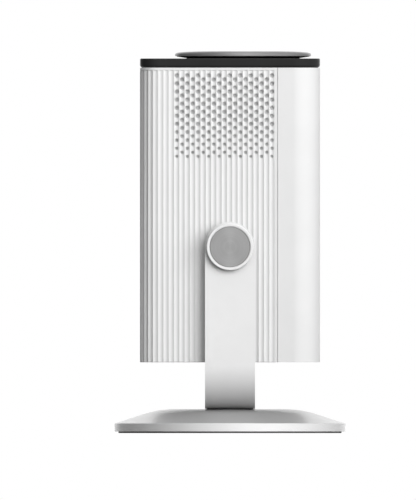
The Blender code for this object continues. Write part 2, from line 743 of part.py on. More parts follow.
def build_front_cover():
    """A smooth half shell with a tongue that closes the seam from inside."""
    start = SEAM_X + GAP
    tongue_outer = SHELL_WALL + GAP
    tongue_inner = tongue_outer + TONGUE_THICKNESS
    root = start + TONGUE_LENGTH
    tip = start - TONGUE_LENGTH

    def front_path(inset, from_x, steps=8):
        radius = FRONT_CORNER_RADIUS - inset
        points = [(from_x, -(SIDE_Y - inset))]
        for side, quarter in ((-1, 3), (1, 0)):
            for i in range(steps + 1):
                angle = (quarter + i / steps) * math.pi / 2
                centre = (FRONT_X - FRONT_CORNER_RADIUS, side * (SIDE_Y - FRONT_CORNER_RADIUS))
                points.append(
                    (centre[0] + radius * math.cos(angle), centre[1] + radius * math.sin(angle))
                )
        return points + [(from_x, SIDE_Y - inset)]

    def tongue(side):
        return [
            (start, side * (SIDE_Y - tongue_outer)),
            (tip, side * (SIDE_Y - tongue_outer)),
            (tip, side * (SIDE_Y - tongue_inner)),
            (root, side * (SIDE_Y - tongue_inner)),
        ]

    outline = front_path(0, start) + tongue(1)
    outline += front_path(SHELL_WALL, root)[::-1] + tongue(-1)[::-1]
    middle = BODY_BOTTOM + SHELL_HEIGHT / 2
    cover = prism(
        "front_cover", [outline], SHELL_HEIGHT, (0, 0, middle), finish="white_shell"
    )
    lens_cutter = cylinder(
        "lens_opening", LENS_OPENING_RADIUS, 0.012, (FRONT_X, 0, LENS_HEIGHT), "+X", sides=36
    )
    combine(cover, lens_cutter)
    sensor_cutter = prism(
        "sensor_opening",
        [rounded_rectangle(SENSOR_LENGTH + 2 * GAP, SENSOR_HEIGHT + 2 * GAP, SENSOR_HEIGHT / 2, 5)],
        0.012,
        (FRONT_X, 0, LENS_HEIGHT - SENSOR_DROP),
        PLANE_YZ,
    )
    combine(cover, sensor_cutter)


def build_top_cap():
    cap = prism(
        "top_cap",
        [casing_outline(0, 10)],
        TOP_CAP_THICKNESS,
        (0, 0, CAP_BOTTOM + TOP_CAP_THICKNESS / 2),
        finish="black_gloss",
    )
    round_edges(cap, TOP_CAP_EDGE)
    pocket_depth = TOP_CAP_THICKNESS - TOP_CAP_ROOF
    pocket = prism(
        "top_cap_pocket",
        [casing_outline(TOP_CAP_WALL, 6)],
        2 * pocket_depth,
        (0, 0, CAP_BOTTOM),
    )
    combine(cap, pocket)
    dial_hole = cylinder(
        "dial_hole", DIAL_HUB_RADIUS + GAP, 0.02, (DIAL_X, 0, CAP_TOP), "+Z", sides=32
    )
    combine(cap, dial_hole)
    button_hole = cylinder(
        "button_hole", BUTTON_RADIUS + GAP, 0.02, (BUTTON_X, 0, CAP_TOP), "+Z", sides=28
    )
    combine(cap, button_hole)


def build_bottom_cover():
    holes = [
        circle(COVER_SCREW_RADIUS + GAP, 12, (x * COVER_SCREW_X, y * COVER_SCREW_Y))
        for x in (-1, 1)
        for y in (-1, 1)
    ]
    first = -(INTAKE_SLOT_COUNT - 1) / 2 * INTAKE_SLOT_PITCH
    slots = [
        rounded_rectangle(
            INTAKE_SLOT_WIDTH, INTAKE_SLOT_LENGTH, INTAKE_SLOT_WIDTH * 0.49, 3,
            centre=(first + i * INTAKE_SLOT_PITCH, 0),
        )
        for i in range(INTAKE_SLOT_COUNT)
    ]
    outline = casing_outline(SHELL_WALL + TONGUE_THICKNESS + 2 * GAP, 6)
    prism(
        "bottom_cover",
        [outline, *holes, *slots],
        BOTTOM_COVER_THICKNESS,
        (0, 0, COVER_BOTTOM + BOTTOM_COVER_THICKNESS / 2),
        finish="black_plastic",
    )
    index = 0
    for x in (-1, 1):
        for y in (-1, 1):
            index += 1
            build_cover_screw(index, x * COVER_SCREW_X, y * COVER_SCREW_Y)


def build_cover_screw(index, x, y):
    head_top = COVER_BOTTOM - GAP
    head_bottom = head_top - COVER_SCREW_HEAD_HEIGHT
    tip = head_top + COVER_SCREW_LENGTH
    socket = COVER_SCREW_HEAD_RADIUS * 0.4
    profile = [
        (0, tip),
        (COVER_SCREW_RADIUS, tip),
        (COVER_SCREW_RADIUS, head_top),
        (COVER_SCREW_HEAD_RADIUS, head_top),
        (COVER_SCREW_HEAD_RADIUS, head_bottom),
        (socket, head_bottom),
        (0, head_bottom + COVER_SCREW_HEAD_HEIGHT / 2),
    ]
    turned(f"bottom_screw_{index}", profile, (x, y, 0), "+Z", 10, "steel")


def build_chassis():
    """A U-shaped frame that carries the hinge bosses, the battery and the optics tray."""
    half, wall = CHASSIS_WIDTH / 2, CHASSIS_WALL
    outline = [
        (-half, WEB_BOTTOM),
        (half, WEB_BOTTOM),
        (half, CHASSIS_TOP),
        (half - wall, CHASSIS_TOP),
        (half - wall, WEB_TOP),
        (-half + wall, WEB_TOP),
        (-half + wall, CHASSIS_TOP),
        (-half, CHASSIS_TOP),
    ]
    chassis = prism(
        "chassis", [outline], CHASSIS_DEPTH, (0, 0, 0), PLANE_YZ, finish="cast_metal"
    )
    for name, side in SIDES:
        low, high = half - 2 * wall, SIDE_Y - GAP / 2
        boss = cylinder(
            f"boss_{name}",
            CHASSIS_BOSS_RADIUS,
            high - low,
            (0, side * (low + high) / 2, PIVOT_HEIGHT),
            "+Y",
            sides=24,
        )
        combine(chassis, boss, "UNION")
    combine(chassis, pivot_cutter("shaft_bore", SHAFT_RADIUS + GAP, SIDE_Y + SIDE_CLEARANCE))
    for x in (-1, 1):
        for y in (-1, 1):
            hole = cylinder(
                "cover_screw_hole",
                COVER_SCREW_RADIUS + GAP,
                0.02,
                (x * COVER_SCREW_X, y * COVER_SCREW_Y, WEB_BOTTOM),
                "+Z",
                sides=12,
            )
            combine(chassis, hole)
    box(
        "engine_tray",
        (TRAY_REAR, -half, CHASSIS_TOP + GAP),
        (TRAY_FRONT, half, TRAY_TOP),
        "cast_metal",
    )


# --------------------------------------------------------- dial, button


def build_dial():
    at = (DIAL_X, 0, CAP_TOP)
    skirt_top = GAP + DIAL_SKIRT_HEIGHT
    rim_low = skirt_top + GAP
    crown = DIAL_HEIGHT - rim_low
    top = [
        (0, DIAL_HEIGHT),
        (DIAL_RADIUS * 0.5, DIAL_HEIGHT - 0.01 * crown),
        (DIAL_RADIUS * 0.8, DIAL_HEIGHT - 0.06 * crown),
        (DIAL_RADIUS * 0.94, DIAL_HEIGHT - 0.20 * crown),
        (DIAL_RADIUS * 0.985, DIAL_HEIGHT - 0.38 * crown),
        (DIAL_RADIUS, rim_low + 0.2 * crown),
        (DIAL_RADIUS - 0.0003, rim_low),
        (DIAL_RADIUS - DIAL_PLATE, rim_low),
        (DIAL_RADIUS - 2 * DIAL_PLATE, DIAL_HEIGHT - 2 * DIAL_PLATE),
        (0, DIAL_HEIGHT - 2 * DIAL_PLATE),
    ]
    disc = turned("dial_top", top, at, "+Z", 40, "silver")
    skirt = [
        (0, skirt_top),
        (DIAL_RADIUS - 0.0004, skirt_top),
        (DIAL_RADIUS - 0.0004, skirt_top - 0.0002),
        (DIAL_NECK_RADIUS, GAP),
        (DIAL_HUB_RADIUS, GAP),
        (DIAL_HUB_RADIUS, -DIAL_HUB_LENGTH),
        (0, -DIAL_HUB_LENGTH),
    ]
    skirt_piece = turned("dial_skirt", skirt, at, "+Z", 40, "black_plastic")
    encoder_high = -TOP_CAP_ROOF - GAP
    encoder = tube_profile(
        DIAL_HUB_RADIUS + GAP, ENCODER_RADIUS, encoder_high - ENCODER_HEIGHT, encoder_high
    )
    turned("dial_encoder", encoder, at, "+Z", 20, "black_plastic")
    return [disc, skirt_piece]


def build_button():
    at = (BUTTON_X, 0, CAP_TOP)
    flange_high = -TOP_CAP_ROOF - GAP
    flange_low = flange_high - BUTTON_FLANGE_HEIGHT
    profile = [
        (0, 0),
        (BUTTON_RADIUS - 0.0003, 0),
        (BUTTON_RADIUS, -0.0003),
        (BUTTON_RADIUS, flange_high),
        (BUTTON_FLANGE_RADIUS, flange_high),
        (BUTTON_FLANGE_RADIUS, flange_low),
        (0, flange_low),
    ]
    button = turned("power_button", profile, at, "+Z", 20, "black_gloss")
    switch_top = CAP_TOP + flange_low - BUTTON_TRAVEL - GAP
    board_top = switch_top - SWITCH_HEIGHT
    half = SWITCH_BOARD_SIZE / 2
    board = box(
        "power_switch",
        (BUTTON_X - half, -half, board_top - SWITCH_BOARD_THICKNESS),
        (BUTTON_X + half, half, board_top),
        "board_green",
    )
    half = SWITCH_SIZE / 2
    body = box(
        "switch_body",
        (BUTTON_X - half, -half, board_top - SWITCH_BOARD_THICKNESS / 2),
        (BUTTON_X + half, half, switch_top),
    )
    combine(board, body, "UNION")
    return button


# --------------------------------------------------------------- optics


def build_window():
    at = (0, 0, LENS_HEIGHT)
    front, back = FRONT_X, FRONT_X - BEZEL_DEPTH
    glass_front = front - WINDOW_RECESS
    glass_back = glass_front - WINDOW_THICKNESS
    ledge = glass_back - GAP
    bezel = [
        (WINDOW_RADIUS + GAP, front),
        (LENS_OPENING_RADIUS - GAP, front),
        (LENS_OPENING_RADIUS - GAP, back),
        (WINDOW_RADIUS - 0.002, back),
        (WINDOW_RADIUS - 0.002, ledge),
        (WINDOW_RADIUS + GAP, ledge),
    ]
    turned("lens_bezel", bezel, at, "+X", 36, "silver")
    glass = [(0, glass_front), (WINDOW_RADIUS, glass_front), (WINDOW_RADIUS, glass_back), (0, glass_back)]
    turned("lens_window", glass, at, "+X", 36, "glass")

    shroud_front = back - GAP
    mouth = WINDOW_RADIUS - 0.0027
    wall = 0.0012
    shroud = [
        (mouth, shroud_front),
        (mouth + 2 * wall, shroud_front),
        (mouth + 2 * wall, shroud_front - wall),
        (SHROUD_BORE + wall, SHROUD_REAR_X),
        (SHROUD_BORE, SHROUD_REAR_X),
    ]
    turned("lens_shroud", shroud, at, "+X", 24, "black_plastic")
    prism(
        "sensor_window",
        [rounded_rectangle(SENSOR_LENGTH, SENSOR_HEIGHT, SENSOR_HEIGHT * 0.49, 5)],
        SHELL_WALL - WINDOW_RECESS,
        (FRONT_X - (SHELL_WALL + WINDOW_RECESS) / 2, 0, LENS_HEIGHT - SENSOR_DROP),
        PLANE_YZ,
        finish="dark_glass",
    )


def build_engine():
    """The sealed light engine, its lens mount and its light source."""
    half = ENGINE_WIDTH / 2
    engine = box(
        "optical_engine",
        (ENGINE_REAR, -half, TRAY_TOP + GAP),
        (ENGINE_FRONT, half, ENGINE_TOP),
        "cast_metal",
    )
    round_edges(engine, 0.002, 1)
    half_width, half_height = LIGHT_SOURCE_WIDTH / 2, LIGHT_SOURCE_HEIGHT / 2
    box(
        "light_source",
        (HEAT_SINK_FRONT_X + GAP, -half_width, LENS_HEIGHT - half_height),
        (ENGINE_REAR - GAP, half_width, LENS_HEIGHT + half_height),
        "steel",
    )
    bore = BARREL_RADIUS + GAP
    flange_back = ENGINE_FRONT + GAP
    flange_front = flange_back + MOUNT_FLANGE_THICKNESS
    mount = [
        (bore, MOUNT_FRONT_X),
        (bore + MOUNT_WALL, MOUNT_FRONT_X),
        (bore + MOUNT_WALL, flange_front),
        (MOUNT_FLANGE_RADIUS, flange_front),
        (MOUNT_FLANGE_RADIUS, flange_back),
        (bore, flange_back),
    ]
    turned("lens_mount", mount, (0, 0, LENS_HEIGHT), "+X", 20, "black_plastic")


def build_lens():
    """The barrel that slides to focus, with the lug that the focus screw drives, and its lens."""
    at = (0, 0, LENS_HEIGHT)
    lens_front = BARREL_FRONT_X - 0.0012
    lens_back = lens_front - LENS_THICKNESS
    stop = BARREL_BORE - 0.0025
    seat = lens_back + LENS_BULGE * (stop / BARREL_BORE) ** 2 - GAP
    profile = [
        (BARREL_BORE, BARREL_FRONT_X),
        (BARREL_RADIUS, BARREL_FRONT_X),
        (BARREL_RADIUS, BARREL_REAR_X),
        (stop, BARREL_REAR_X),
        (stop, seat),
        (BARREL_BORE, seat),
    ]
    barrel = turned("lens_barrel", profile, at, "+X", 20, "black_plastic")
    screw_z = LENS_HEIGHT - FOCUS_SCREW_DROP
    lug_front = BARREL_FRONT_X - 0.0005
    lug_top = LENS_HEIGHT - (BARREL_RADIUS + BARREL_BORE) / 2
    lug = box(
        "focus_lug",
        (lug_front - FOCUS_LUG_THICKNESS, -FOCUS_LUG_WIDTH / 2, screw_z - FOCUS_LUG_WIDTH / 2),
        (lug_front, FOCUS_LUG_WIDTH / 2, lug_top),
    )
    combine(barrel, lug, "UNION")
    bore = cylinder(
        "lug_bore", FOCUS_SCREW_RADIUS + GAP, 0.01, (lug_front, 0, screw_z), "+X", sides=14
    )
    combine(barrel, bore)

    radius = BARREL_BORE - GAP
    front = [(radius * i / 3, lens_front - LENS_BULGE * (i / 3) ** 2) for i in range(4)]
    back = [(radius * i / 3, lens_back + LENS_BULGE * (i / 3) ** 2) for i in (3, 2, 1, 0)]
    glass = turned("front_lens", front + back, at, "+X", 20, "glass")

    motor_back = ENGINE_FRONT + GAP
    motor_front = motor_back + FOCUS_MOTOR_LENGTH
    screw_back = motor_front - FOCUS_MOTOR_LENGTH * 0.6
    bore_radius = FOCUS_SCREW_RADIUS + GAP
    motor = [
        (0, screw_back - GAP),
        (bore_radius, screw_back - GAP),
        (bore_radius, motor_front),
        (FOCUS_MOTOR_RADIUS, motor_front),
        (FOCUS_MOTOR_RADIUS, motor_back),
        (0, motor_back),
    ]
    turned("focus_motor", motor, (0, 0, screw_z), "+X", 14, "steel")
    screw = [
        (0, FOCUS_SCREW_FRONT_X),
        (FOCUS_SCREW_RADIUS, FOCUS_SCREW_FRONT_X),
        (FOCUS_SCREW_RADIUS, screw_back),
        (0, screw_back),
    ]
    drive = turned("focus_screw", screw, (0, 0, screw_z), "+X", 14, "steel")
    return [barrel, glass], [drive]


# -------------------------------------------------------------- cooling


def build_cooling():
    half = FAN_SIZE / 2
    middle_x = FAN_REAR_X + FAN_DEPTH / 2
    housing = prism(
        "fan_housing",
        [rounded_rectangle(FAN_SIZE, FAN_SIZE, FAN_CORNER_RADIUS, 3), circle(FAN_DUCT_RADIUS, 36)],
        FAN_DEPTH,
        (middle_x, 0, LENS_HEIGHT),
        PLANE_YZ,
        finish="black_plastic",
    )
    strut_front = FAN_REAR_X + FAN_DEPTH
    strut_back = strut_front - FAN_STRUT_DEPTH
    middle = (strut_front + strut_back) / 2
    reach = half - FAN_STRUT_MARGIN
    width = FAN_STRUT_WIDTH / 2
    for angle in (0, math.pi / 3, 2 * math.pi / 3):
        strut = box(
            "fan_strut", (strut_back, -reach, -width), (strut_front - GAP / 2, reach, width)
        )
        place(strut, (middle, 0, LENS_HEIGHT), (angle, 0, 0))
        combine(housing, strut, "UNION")
    hub = cylinder(
        "fan_bearing", FAN_HUB_RADIUS, strut_front - strut_back + 0.0004,
        (middle - 0.0004, 0, LENS_HEIGHT), "+X", sides=20,
    )
    combine(housing, hub, "UNION")
    rotor_x = FAN_REAR_X + FAN_ROTOR_SETBACK + FAN_BLADE_DEPTH / 2
    rotor = build_rotor((rotor_x, 0, LENS_HEIGHT))

    side = half - HEAT_SINK_MARGIN
    spacing = (2 * side - HEAT_SINK_FIN_THICKNESS) / (HEAT_SINK_FINS - 1)
    root = HEAT_SINK_FRONT_X - HEAT_SINK_BASE
    comb = []
    for i in range(HEAT_SINK_FINS):
        high = side - i * spacing
        low = high - HEAT_SINK_FIN_THICKNESS
        comb += [(root, high), (HEAT_SINK_REAR_X, high), (HEAT_SINK_REAR_X, low), (root, low)]
    comb[0] = (HEAT_SINK_FRONT_X, side)  # the outer fins run straight into the base
    comb[-1] = (HEAT_SINK_FRONT_X, -side)
    height = FAN_SIZE - 3 * HEAT_SINK_MARGIN
    prism("heat_sink", [comb], height, (0, 0, LENS_HEIGHT), finish="cast_metal")
    return rotor


def build_rotor(at):
    """Hub and blades drawn as one outline, then twisted so that the blades lean."""
    waist = FAN_HUB_RADIUS + FAN_BLADE_ROOT
    bend = 0.4 * FAN_BLADE_SWEEP
    blade_shape = (  # radius, angle past the start of the blade
        (FAN_HUB_RADIUS, 0),
        (waist, bend),
        (FAN_TIP_RADIUS, FAN_BLADE_SWEEP),
        (FAN_TIP_RADIUS, FAN_BLADE_SWEEP + FAN_BLADE_ARC),
        (waist, bend + FAN_BLADE_ARC / 2),
        (FAN_HUB_RADIUS, FAN_BLADE_ARC / 2),
        (FAN_HUB_RADIUS, FAN_BLADE_SWEEP + FAN_BLADE_ARC / 2),
    )
    outline = []
    for blade in range(FAN_BLADES):
        start = 2 * math.pi * blade / FAN_BLADES
        for radius, offset in blade_shape:
            angle = start + offset
            outline.append((radius * math.cos(angle), radius * math.sin(angle)))
    rotor = prism("fan_rotor", [outline], FAN_BLADE_DEPTH, at, PLANE_YZ, finish="black_plastic")
    for vert in rotor.data.vertices:
        radius = math.hypot(vert.co.x, vert.co.y)
        if radius < FAN_HUB_RADIUS * 1.05:
            continue
        turn = FAN_BLADE_TWIST * vert.co.z / FAN_BLADE_DEPTH
        angle = math.atan2(vert.co.y, vert.co.x) + turn
        vert.co.x, vert.co.y = radius * math.cos(angle), radius * math.sin(angle)
    return rotor


# ---------------------------------------------------------- electronics


def build_speakers():
    wall_inner = SIDE_Y - SHELL_WALL
    face = wall_inner - 2 * GAP
    flange = 0.002
    mouth = SPEAKER_RADIUS - 0.0055
    magnet = SPEAKER_RADIUS - 0.0105
    cup = magnet - 0.002
    for name, side in SIDES:
        at = (SPEAKER_X, side * face, SPEAKER_HEIGHT)
        axis = "+Y" if side > 0 else "-Y"
        basket = [
            (0, -SPEAKER_DEPTH * 0.55),
            (cup, -SPEAKER_DEPTH * 0.55),
            (mouth, -0.0015),
            (mouth, 0),
            (SPEAKER_RADIUS, 0),
            (SPEAKER_RADIUS, -flange),
            (SPEAKER_RADIUS - 0.0035, -flange),
            (magnet, -SPEAKER_DEPTH * 0.6),
            (magnet, -SPEAKER_DEPTH),
            (0, -SPEAKER_DEPTH),
        ]
        turned(f"speaker_{name}", basket, at, axis, 18, "steel")
        cone_radius = mouth - 2 * GAP
        cone = [
            (0, -0.0038),
            (0.0045, -0.0048),
            (0.006, -0.0064),
            (cone_radius - 0.0015, -0.0010),
            (cone_radius, -0.0010),
            (cone_radius, -0.0018),
            (cone_radius - 0.0012, -0.0018),
            (0.0062, -0.0072),
            (0, -0.0072),
        ]
        turned(f"speaker_cone_{name}", cone, at, axis, 18, "cone_paper")


def build_board_and_battery():
    holes = [
        circle(0.0016, 10, (y * (BOARD_WIDTH / 2 - 0.004), z))
        for y in (-1, 1)
        for z in (BOARD_LOW + 0.004, BOARD_HIGH - 0.004)
    ]
    outline = rounded_rectangle(
        BOARD_WIDTH, BOARD_HIGH - BOARD_LOW, 0.002, 2, centre=(0, (BOARD_LOW + BOARD_HIGH) / 2)
    )
    prism(
        "main_board",
        [outline, *holes],
        BOARD_THICKNESS,
        (BOARD_X, 0, 0),
        PLANE_YZ,
        finish="board_green",
    )
    depth, width, height = BATTERY_SIZE
    low = WEB_TOP + GAP
    battery = box(
        "battery_pack",
        (-depth / 2, -width / 2, low),
        (depth / 2, width / 2, low + height),
        "battery_wrap",
    )
    round_edges(battery, 0.003)


def port_box(name, y, opening, finish="steel"):
    """A socket: a metal box with a cavity that is open to the rear."""
    width, height = opening
    outer_x = REAR_X + PANEL_RECESS
    inner_x = BOARD_X - BOARD_THICKNESS / 2 - GAP
    shell = box(
        name,
        (outer_x, y - width / 2 - PORT_WALL, PANEL_CENTRE_HEIGHT - height / 2 - PORT_WALL),
        (inner_x, y + width / 2 + PORT_WALL, PANEL_CENTRE_HEIGHT + height / 2 + PORT_WALL),
        finish,
    )
    cavity = box(
        name + "_cavity",
        (outer_x - PORT_CAVITY, y - width / 2, PANEL_CENTRE_HEIGHT - height / 2),
        (outer_x + PORT_CAVITY, y + width / 2, PANEL_CENTRE_HEIGHT + height / 2),
    )
    combine(shell, cavity)


def port_cutout(opening, y):
    grow = 2 * (PORT_WALL + GAP)
    return rounded_rectangle(opening[0] + grow, opening[1] + grow, 0.0004, 1, centre=(y, 0))


def build_panel():
    cutouts = [
        port_cutout(HDMI_OPENING, HDMI_Y),
        port_cutout(USB_OPENING, USB_Y),
        circle(JACK_RADIUS + GAP, 18, (JACK_Y, 0)),
        circle(INLET_RADIUS + GAP, 20, (INLET_Y, 0)),
    ]
    outer_x = REAR_X + PANEL_RECESS
    prism(
        "io_panel",
        [rounded_rectangle(PANEL_WIDTH, PANEL_HEIGHT, PANEL_CORNER), *cutouts],
        PANEL_THICKNESS,
        (outer_x + PANEL_THICKNESS / 2, 0, PANEL_CENTRE_HEIGHT),
        PLANE_YZ,
        finish="black_plastic",
    )
    port_box("hdmi_port", HDMI_Y, HDMI_OPENING)
    port_box("usb_port", USB_Y, USB_OPENING)
    length = BOARD_X - BOARD_THICKNESS / 2 - GAP - outer_x
    jack = [
        (0, -length * 0.85),
        (JACK_BORE, -length * 0.85),
        (JACK_BORE, 0),
        (JACK_RADIUS, 0),
        (JACK_RADIUS, -length),
        (0, -length),
    ]
    at = (outer_x, JACK_Y, PANEL_CENTRE_HEIGHT)
    turned("audio_jack", jack, at, "-X", 16, "black_plastic")
    inlet = [
        (0, -0.0015),
        (INLET_PIN, -0.0015),
        (INLET_PIN, -PORT_CAVITY),
        (INLET_BORE, -PORT_CAVITY),
        (INLET_BORE, 0),
        (INLET_RADIUS, 0),
        (INLET_RADIUS, -length),
        (0, -length),
    ]
    at = (outer_x, INLET_Y, PANEL_CENTRE_HEIGHT)
    turned("dc_inlet", inlet, at, "-X", 18, "black_plastic")


# ------------------------------------------------------------- assembly


def axis_empty(name, at):
    empty = bpy.data.objects.new(name, None)
    empty.location = at
    PARTS.objects.link(empty)
    return empty


def carry(empty, pieces):
    """Parents pieces to the empty on their joint's axis, and leaves them where they are."""
    bpy.context.view_layer.update()
    for piece in pieces:
        piece.parent = empty
        piece.matrix_parent_inverse = empty.matrix_world.inverted()


def main():
    build_base()
    build_yoke()
    hinge_pieces = []
    for name, side in SIDES:
        hinge_pieces += build_pivot(name, side)
    stand = set(PARTS.objects) - set(hinge_pieces)

    build_rear_shell()
    build_front_cover()
    build_top_cap()
    build_bottom_cover()
    build_chassis()
    build_window()
    build_engine()
    build_speakers()
    build_board_and_battery()
    build_panel()
    dial = build_dial()
    button = build_button()
    barrel, focus_drive = build_lens()
    rotor = build_cooling()

    tilting = [piece for piece in PARTS.objects if piece not in stand]
    screw_height = LENS_HEIGHT - FOCUS_SCREW_DROP
    tilt_axis = axis_empty("tilt_axis", (0, 0, PIVOT_HEIGHT))
    moving = (
        (axis_empty("dial_axis", (DIAL_X, 0, CAP_TOP)), dial),
        (axis_empty("button_axis", (BUTTON_X, 0, CAP_TOP)), [button]),
        (axis_empty("focus_axis", (BARREL_REAR_X, 0, LENS_HEIGHT)), barrel),
        (axis_empty("focus_screw_axis", (BARREL_REAR_X, 0, screw_height)), focus_drive),
        (axis_empty("fan_axis", (FAN_REAR_X, 0, LENS_HEIGHT)), [rotor]),
    )
    for empty, pieces in moving:
        carry(empty, pieces)
        tilting = [piece for piece in tilting if piece not in pieces]
    carry(tilt_axis, tilting + [empty for empty, _ in moving])


main()
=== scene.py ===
import json
import math

import bmesh
import bpy
from mathutils import Matrix, Vector


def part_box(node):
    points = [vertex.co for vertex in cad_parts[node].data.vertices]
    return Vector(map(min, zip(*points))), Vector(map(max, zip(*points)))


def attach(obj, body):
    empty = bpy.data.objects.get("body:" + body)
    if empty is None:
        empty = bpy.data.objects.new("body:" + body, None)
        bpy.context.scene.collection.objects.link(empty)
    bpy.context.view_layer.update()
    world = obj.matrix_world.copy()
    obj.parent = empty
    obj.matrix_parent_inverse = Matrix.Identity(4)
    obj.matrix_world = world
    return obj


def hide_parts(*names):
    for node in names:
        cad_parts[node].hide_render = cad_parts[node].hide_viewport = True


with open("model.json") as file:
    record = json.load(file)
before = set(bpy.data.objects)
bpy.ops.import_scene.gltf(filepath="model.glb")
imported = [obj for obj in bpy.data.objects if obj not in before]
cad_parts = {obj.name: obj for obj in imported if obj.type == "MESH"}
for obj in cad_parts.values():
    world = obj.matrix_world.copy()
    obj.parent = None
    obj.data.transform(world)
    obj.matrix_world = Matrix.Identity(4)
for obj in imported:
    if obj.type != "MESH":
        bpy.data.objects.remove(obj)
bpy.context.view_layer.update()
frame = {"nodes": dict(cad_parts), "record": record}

# Metres, +Z up, the lens looks along +X and the tilt axis lies along Y.

up = Vector((0, 0, 1))
sides = (("right", -1), ("left", 1))


def boxOf(node):
    low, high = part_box(node)
    return low, high, (low + high) / 2


# Materials: effects that several finishes share are node groups, built once.


def addNode(tree, kind, **settings):
    node = tree.nodes.new(kind)
    for name, value in settings.items():
        setattr(node, name, value)
    return node


def feed(tree, socket, value):
    if isinstance(value, bpy.types.NodeSocket):
        tree.links.new(value, socket)
    else:
        socket.default_value = value


def calc(tree, operation, *values, clamp=False):
    node = addNode(tree, "ShaderNodeMath", operation=operation, use_clamp=clamp)
    for socket, value in zip(node.inputs, values):
        feed(tree, socket, value)
    return node.outputs[0]


def spread(tree, value, fromLow, fromHigh, toLow=0.0, toHigh=1.0):
    node = addNode(tree, "ShaderNodeMapRange", interpolation_type="SMOOTHSTEP")
    for socket, given in zip(node.inputs, (value, fromLow, fromHigh, toLow, toHigh)):
        feed(tree, socket, given)
    return node.outputs[0]


def blendColour(tree, factor, first, second):
    node = addNode(tree, "ShaderNodeMix", data_type="RGBA")
    feed(tree, node.inputs[0], factor)
    feed(tree, node.inputs[6], first)
    feed(tree, node.inputs[7], second)
    return node.outputs[2]


def noise(tree, vector, scale, detail=3.0, rough=0.5):
    node = addNode(tree, "ShaderNodeTexNoise")
    feed(tree, node.inputs["Vector"], vector)
    feed(tree, node.inputs["Scale"], scale)
    node.inputs["Detail"].default_value = detail
    node.inputs["Roughness"].default_value = rough
    return node.outputs[0]


def objectPoint(tree):
    return addNode(tree, "ShaderNodeTexCoord").outputs["Object"]


def startGroup(name, inputs, outputs):
    group = bpy.data.node_groups.new(name, "ShaderNodeTree")
    for socketName, default in inputs:
        socket = group.interface.new_socket(socketName, in_out="INPUT", socket_type="NodeSocketFloat")
        socket.default_value = default
    for socketName in outputs:
        group.interface.new_socket(socketName, in_out="OUTPUT", socket_type="NodeSocketFloat")
    return group, addNode(group, "NodeGroupInput"), addNode(group, "NodeGroupOutput")


def buildMouldGrain():
    # the fine spark-eroded texture of a mould, or the orange peel of a paint
    group, given, result = startGroup(
        "Mould grain", (("Grain size", 0.0004), ("Cloud size", 0.03)), ("Height", "Cloud")
    )
    point = objectPoint(group)
    fine = noise(group, point, calc(group, "DIVIDE", 1.0, given.outputs["Grain size"]), 2.0)
    coarse = noise(group, point, calc(group, "DIVIDE", 0.3, given.outputs["Grain size"]), 1.0)
    height = calc(group, "MULTIPLY_ADD", coarse, 0.5, fine)
    feed(group, result.inputs["Height"], height)
    cloud = noise(group, point, calc(group, "DIVIDE", 1.0, given.outputs["Cloud size"]), 3.0)
    feed(group, result.inputs["Cloud"], spread(group, cloud, 0.3, 0.7))
    return group


def buildEdgeWear():
    # rubbed edges: where the surface is most convex, broken up by noise
    group, given, result = startGroup("Edge wear", (("Amount", 0.5), ("Patch size", 0.006)), ("Wear",))
    edge = addNode(group, "ShaderNodeNewGeometry").outputs["Pointiness"]
    sharp = spread(group, edge, 0.53, 0.62)
    patch = noise(
        group, objectPoint(group), calc(group, "DIVIDE", 1.0, given.outputs["Patch size"]), 5.0, 0.6
    )
    broken = calc(group, "MULTIPLY", sharp, spread(group, patch, 0.42, 0.62))
    feed(group, result.inputs["Wear"], calc(group, "MULTIPLY", broken, given.outputs["Amount"]))
    return group


def buildHandling():
    # greasy and wiped patches that change the gloss
    group, given, result = startGroup("Handling", (("Patch size", 0.02), ("Contrast", 0.5)), ("Gloss change",))
    point = objectPoint(group)
    size = calc(group, "DIVIDE", 1.0, given.outputs["Patch size"])
    patch = noise(group, point, size, 4.0, 0.55)
    streak = addNode(group, "ShaderNodeMapping")
    feed(group, streak.inputs["Vector"], point)
    streak.inputs["Scale"].default_value = (1.0, 1.0, 0.15)
    wiped = noise(group, streak.outputs[0], calc(group, "MULTIPLY", size, 6.0), 2.0)
    both = calc(group, "MULTIPLY_ADD", wiped, 0.4, calc(group, "MULTIPLY", patch, 0.6))
    centred = calc(group, "SUBTRACT", both, 0.5)
    feed(group, result.inputs["Gloss change"], calc(group, "MULTIPLY", centred, given.outputs["Contrast"]))
    return group


def buildDust():
    # a thin settled layer on whatever faces up
    group, given, result = startGroup("Settled dust", (("Amount", 0.3), ("Speck size", 0.0008)), ("Dust",))
    facing = addNode(group, "ShaderNodeSeparateXYZ")
    feed(group, facing.inputs[0], addNode(group, "ShaderNodeNewGeometry").outputs["Normal"])
    level = spread(group, facing.outputs[2], 0.55, 1.0)
    point = objectPoint(group)
    speck = noise(group, point, calc(group, "DIVIDE", 1.0, given.outputs["Speck size"]), 3.0, 0.7)
    drift = noise(group, point, 35.0, 3.0)
    layer = calc(group, "MULTIPLY", spread(group, speck, 0.5, 0.75), spread(group, drift, 0.3, 0.7))
    dust = calc(group, "MULTIPLY", calc(group, "MULTIPLY", layer, level), given.outputs["Amount"])
    feed(group, result.inputs["Dust"], dust)
    return group


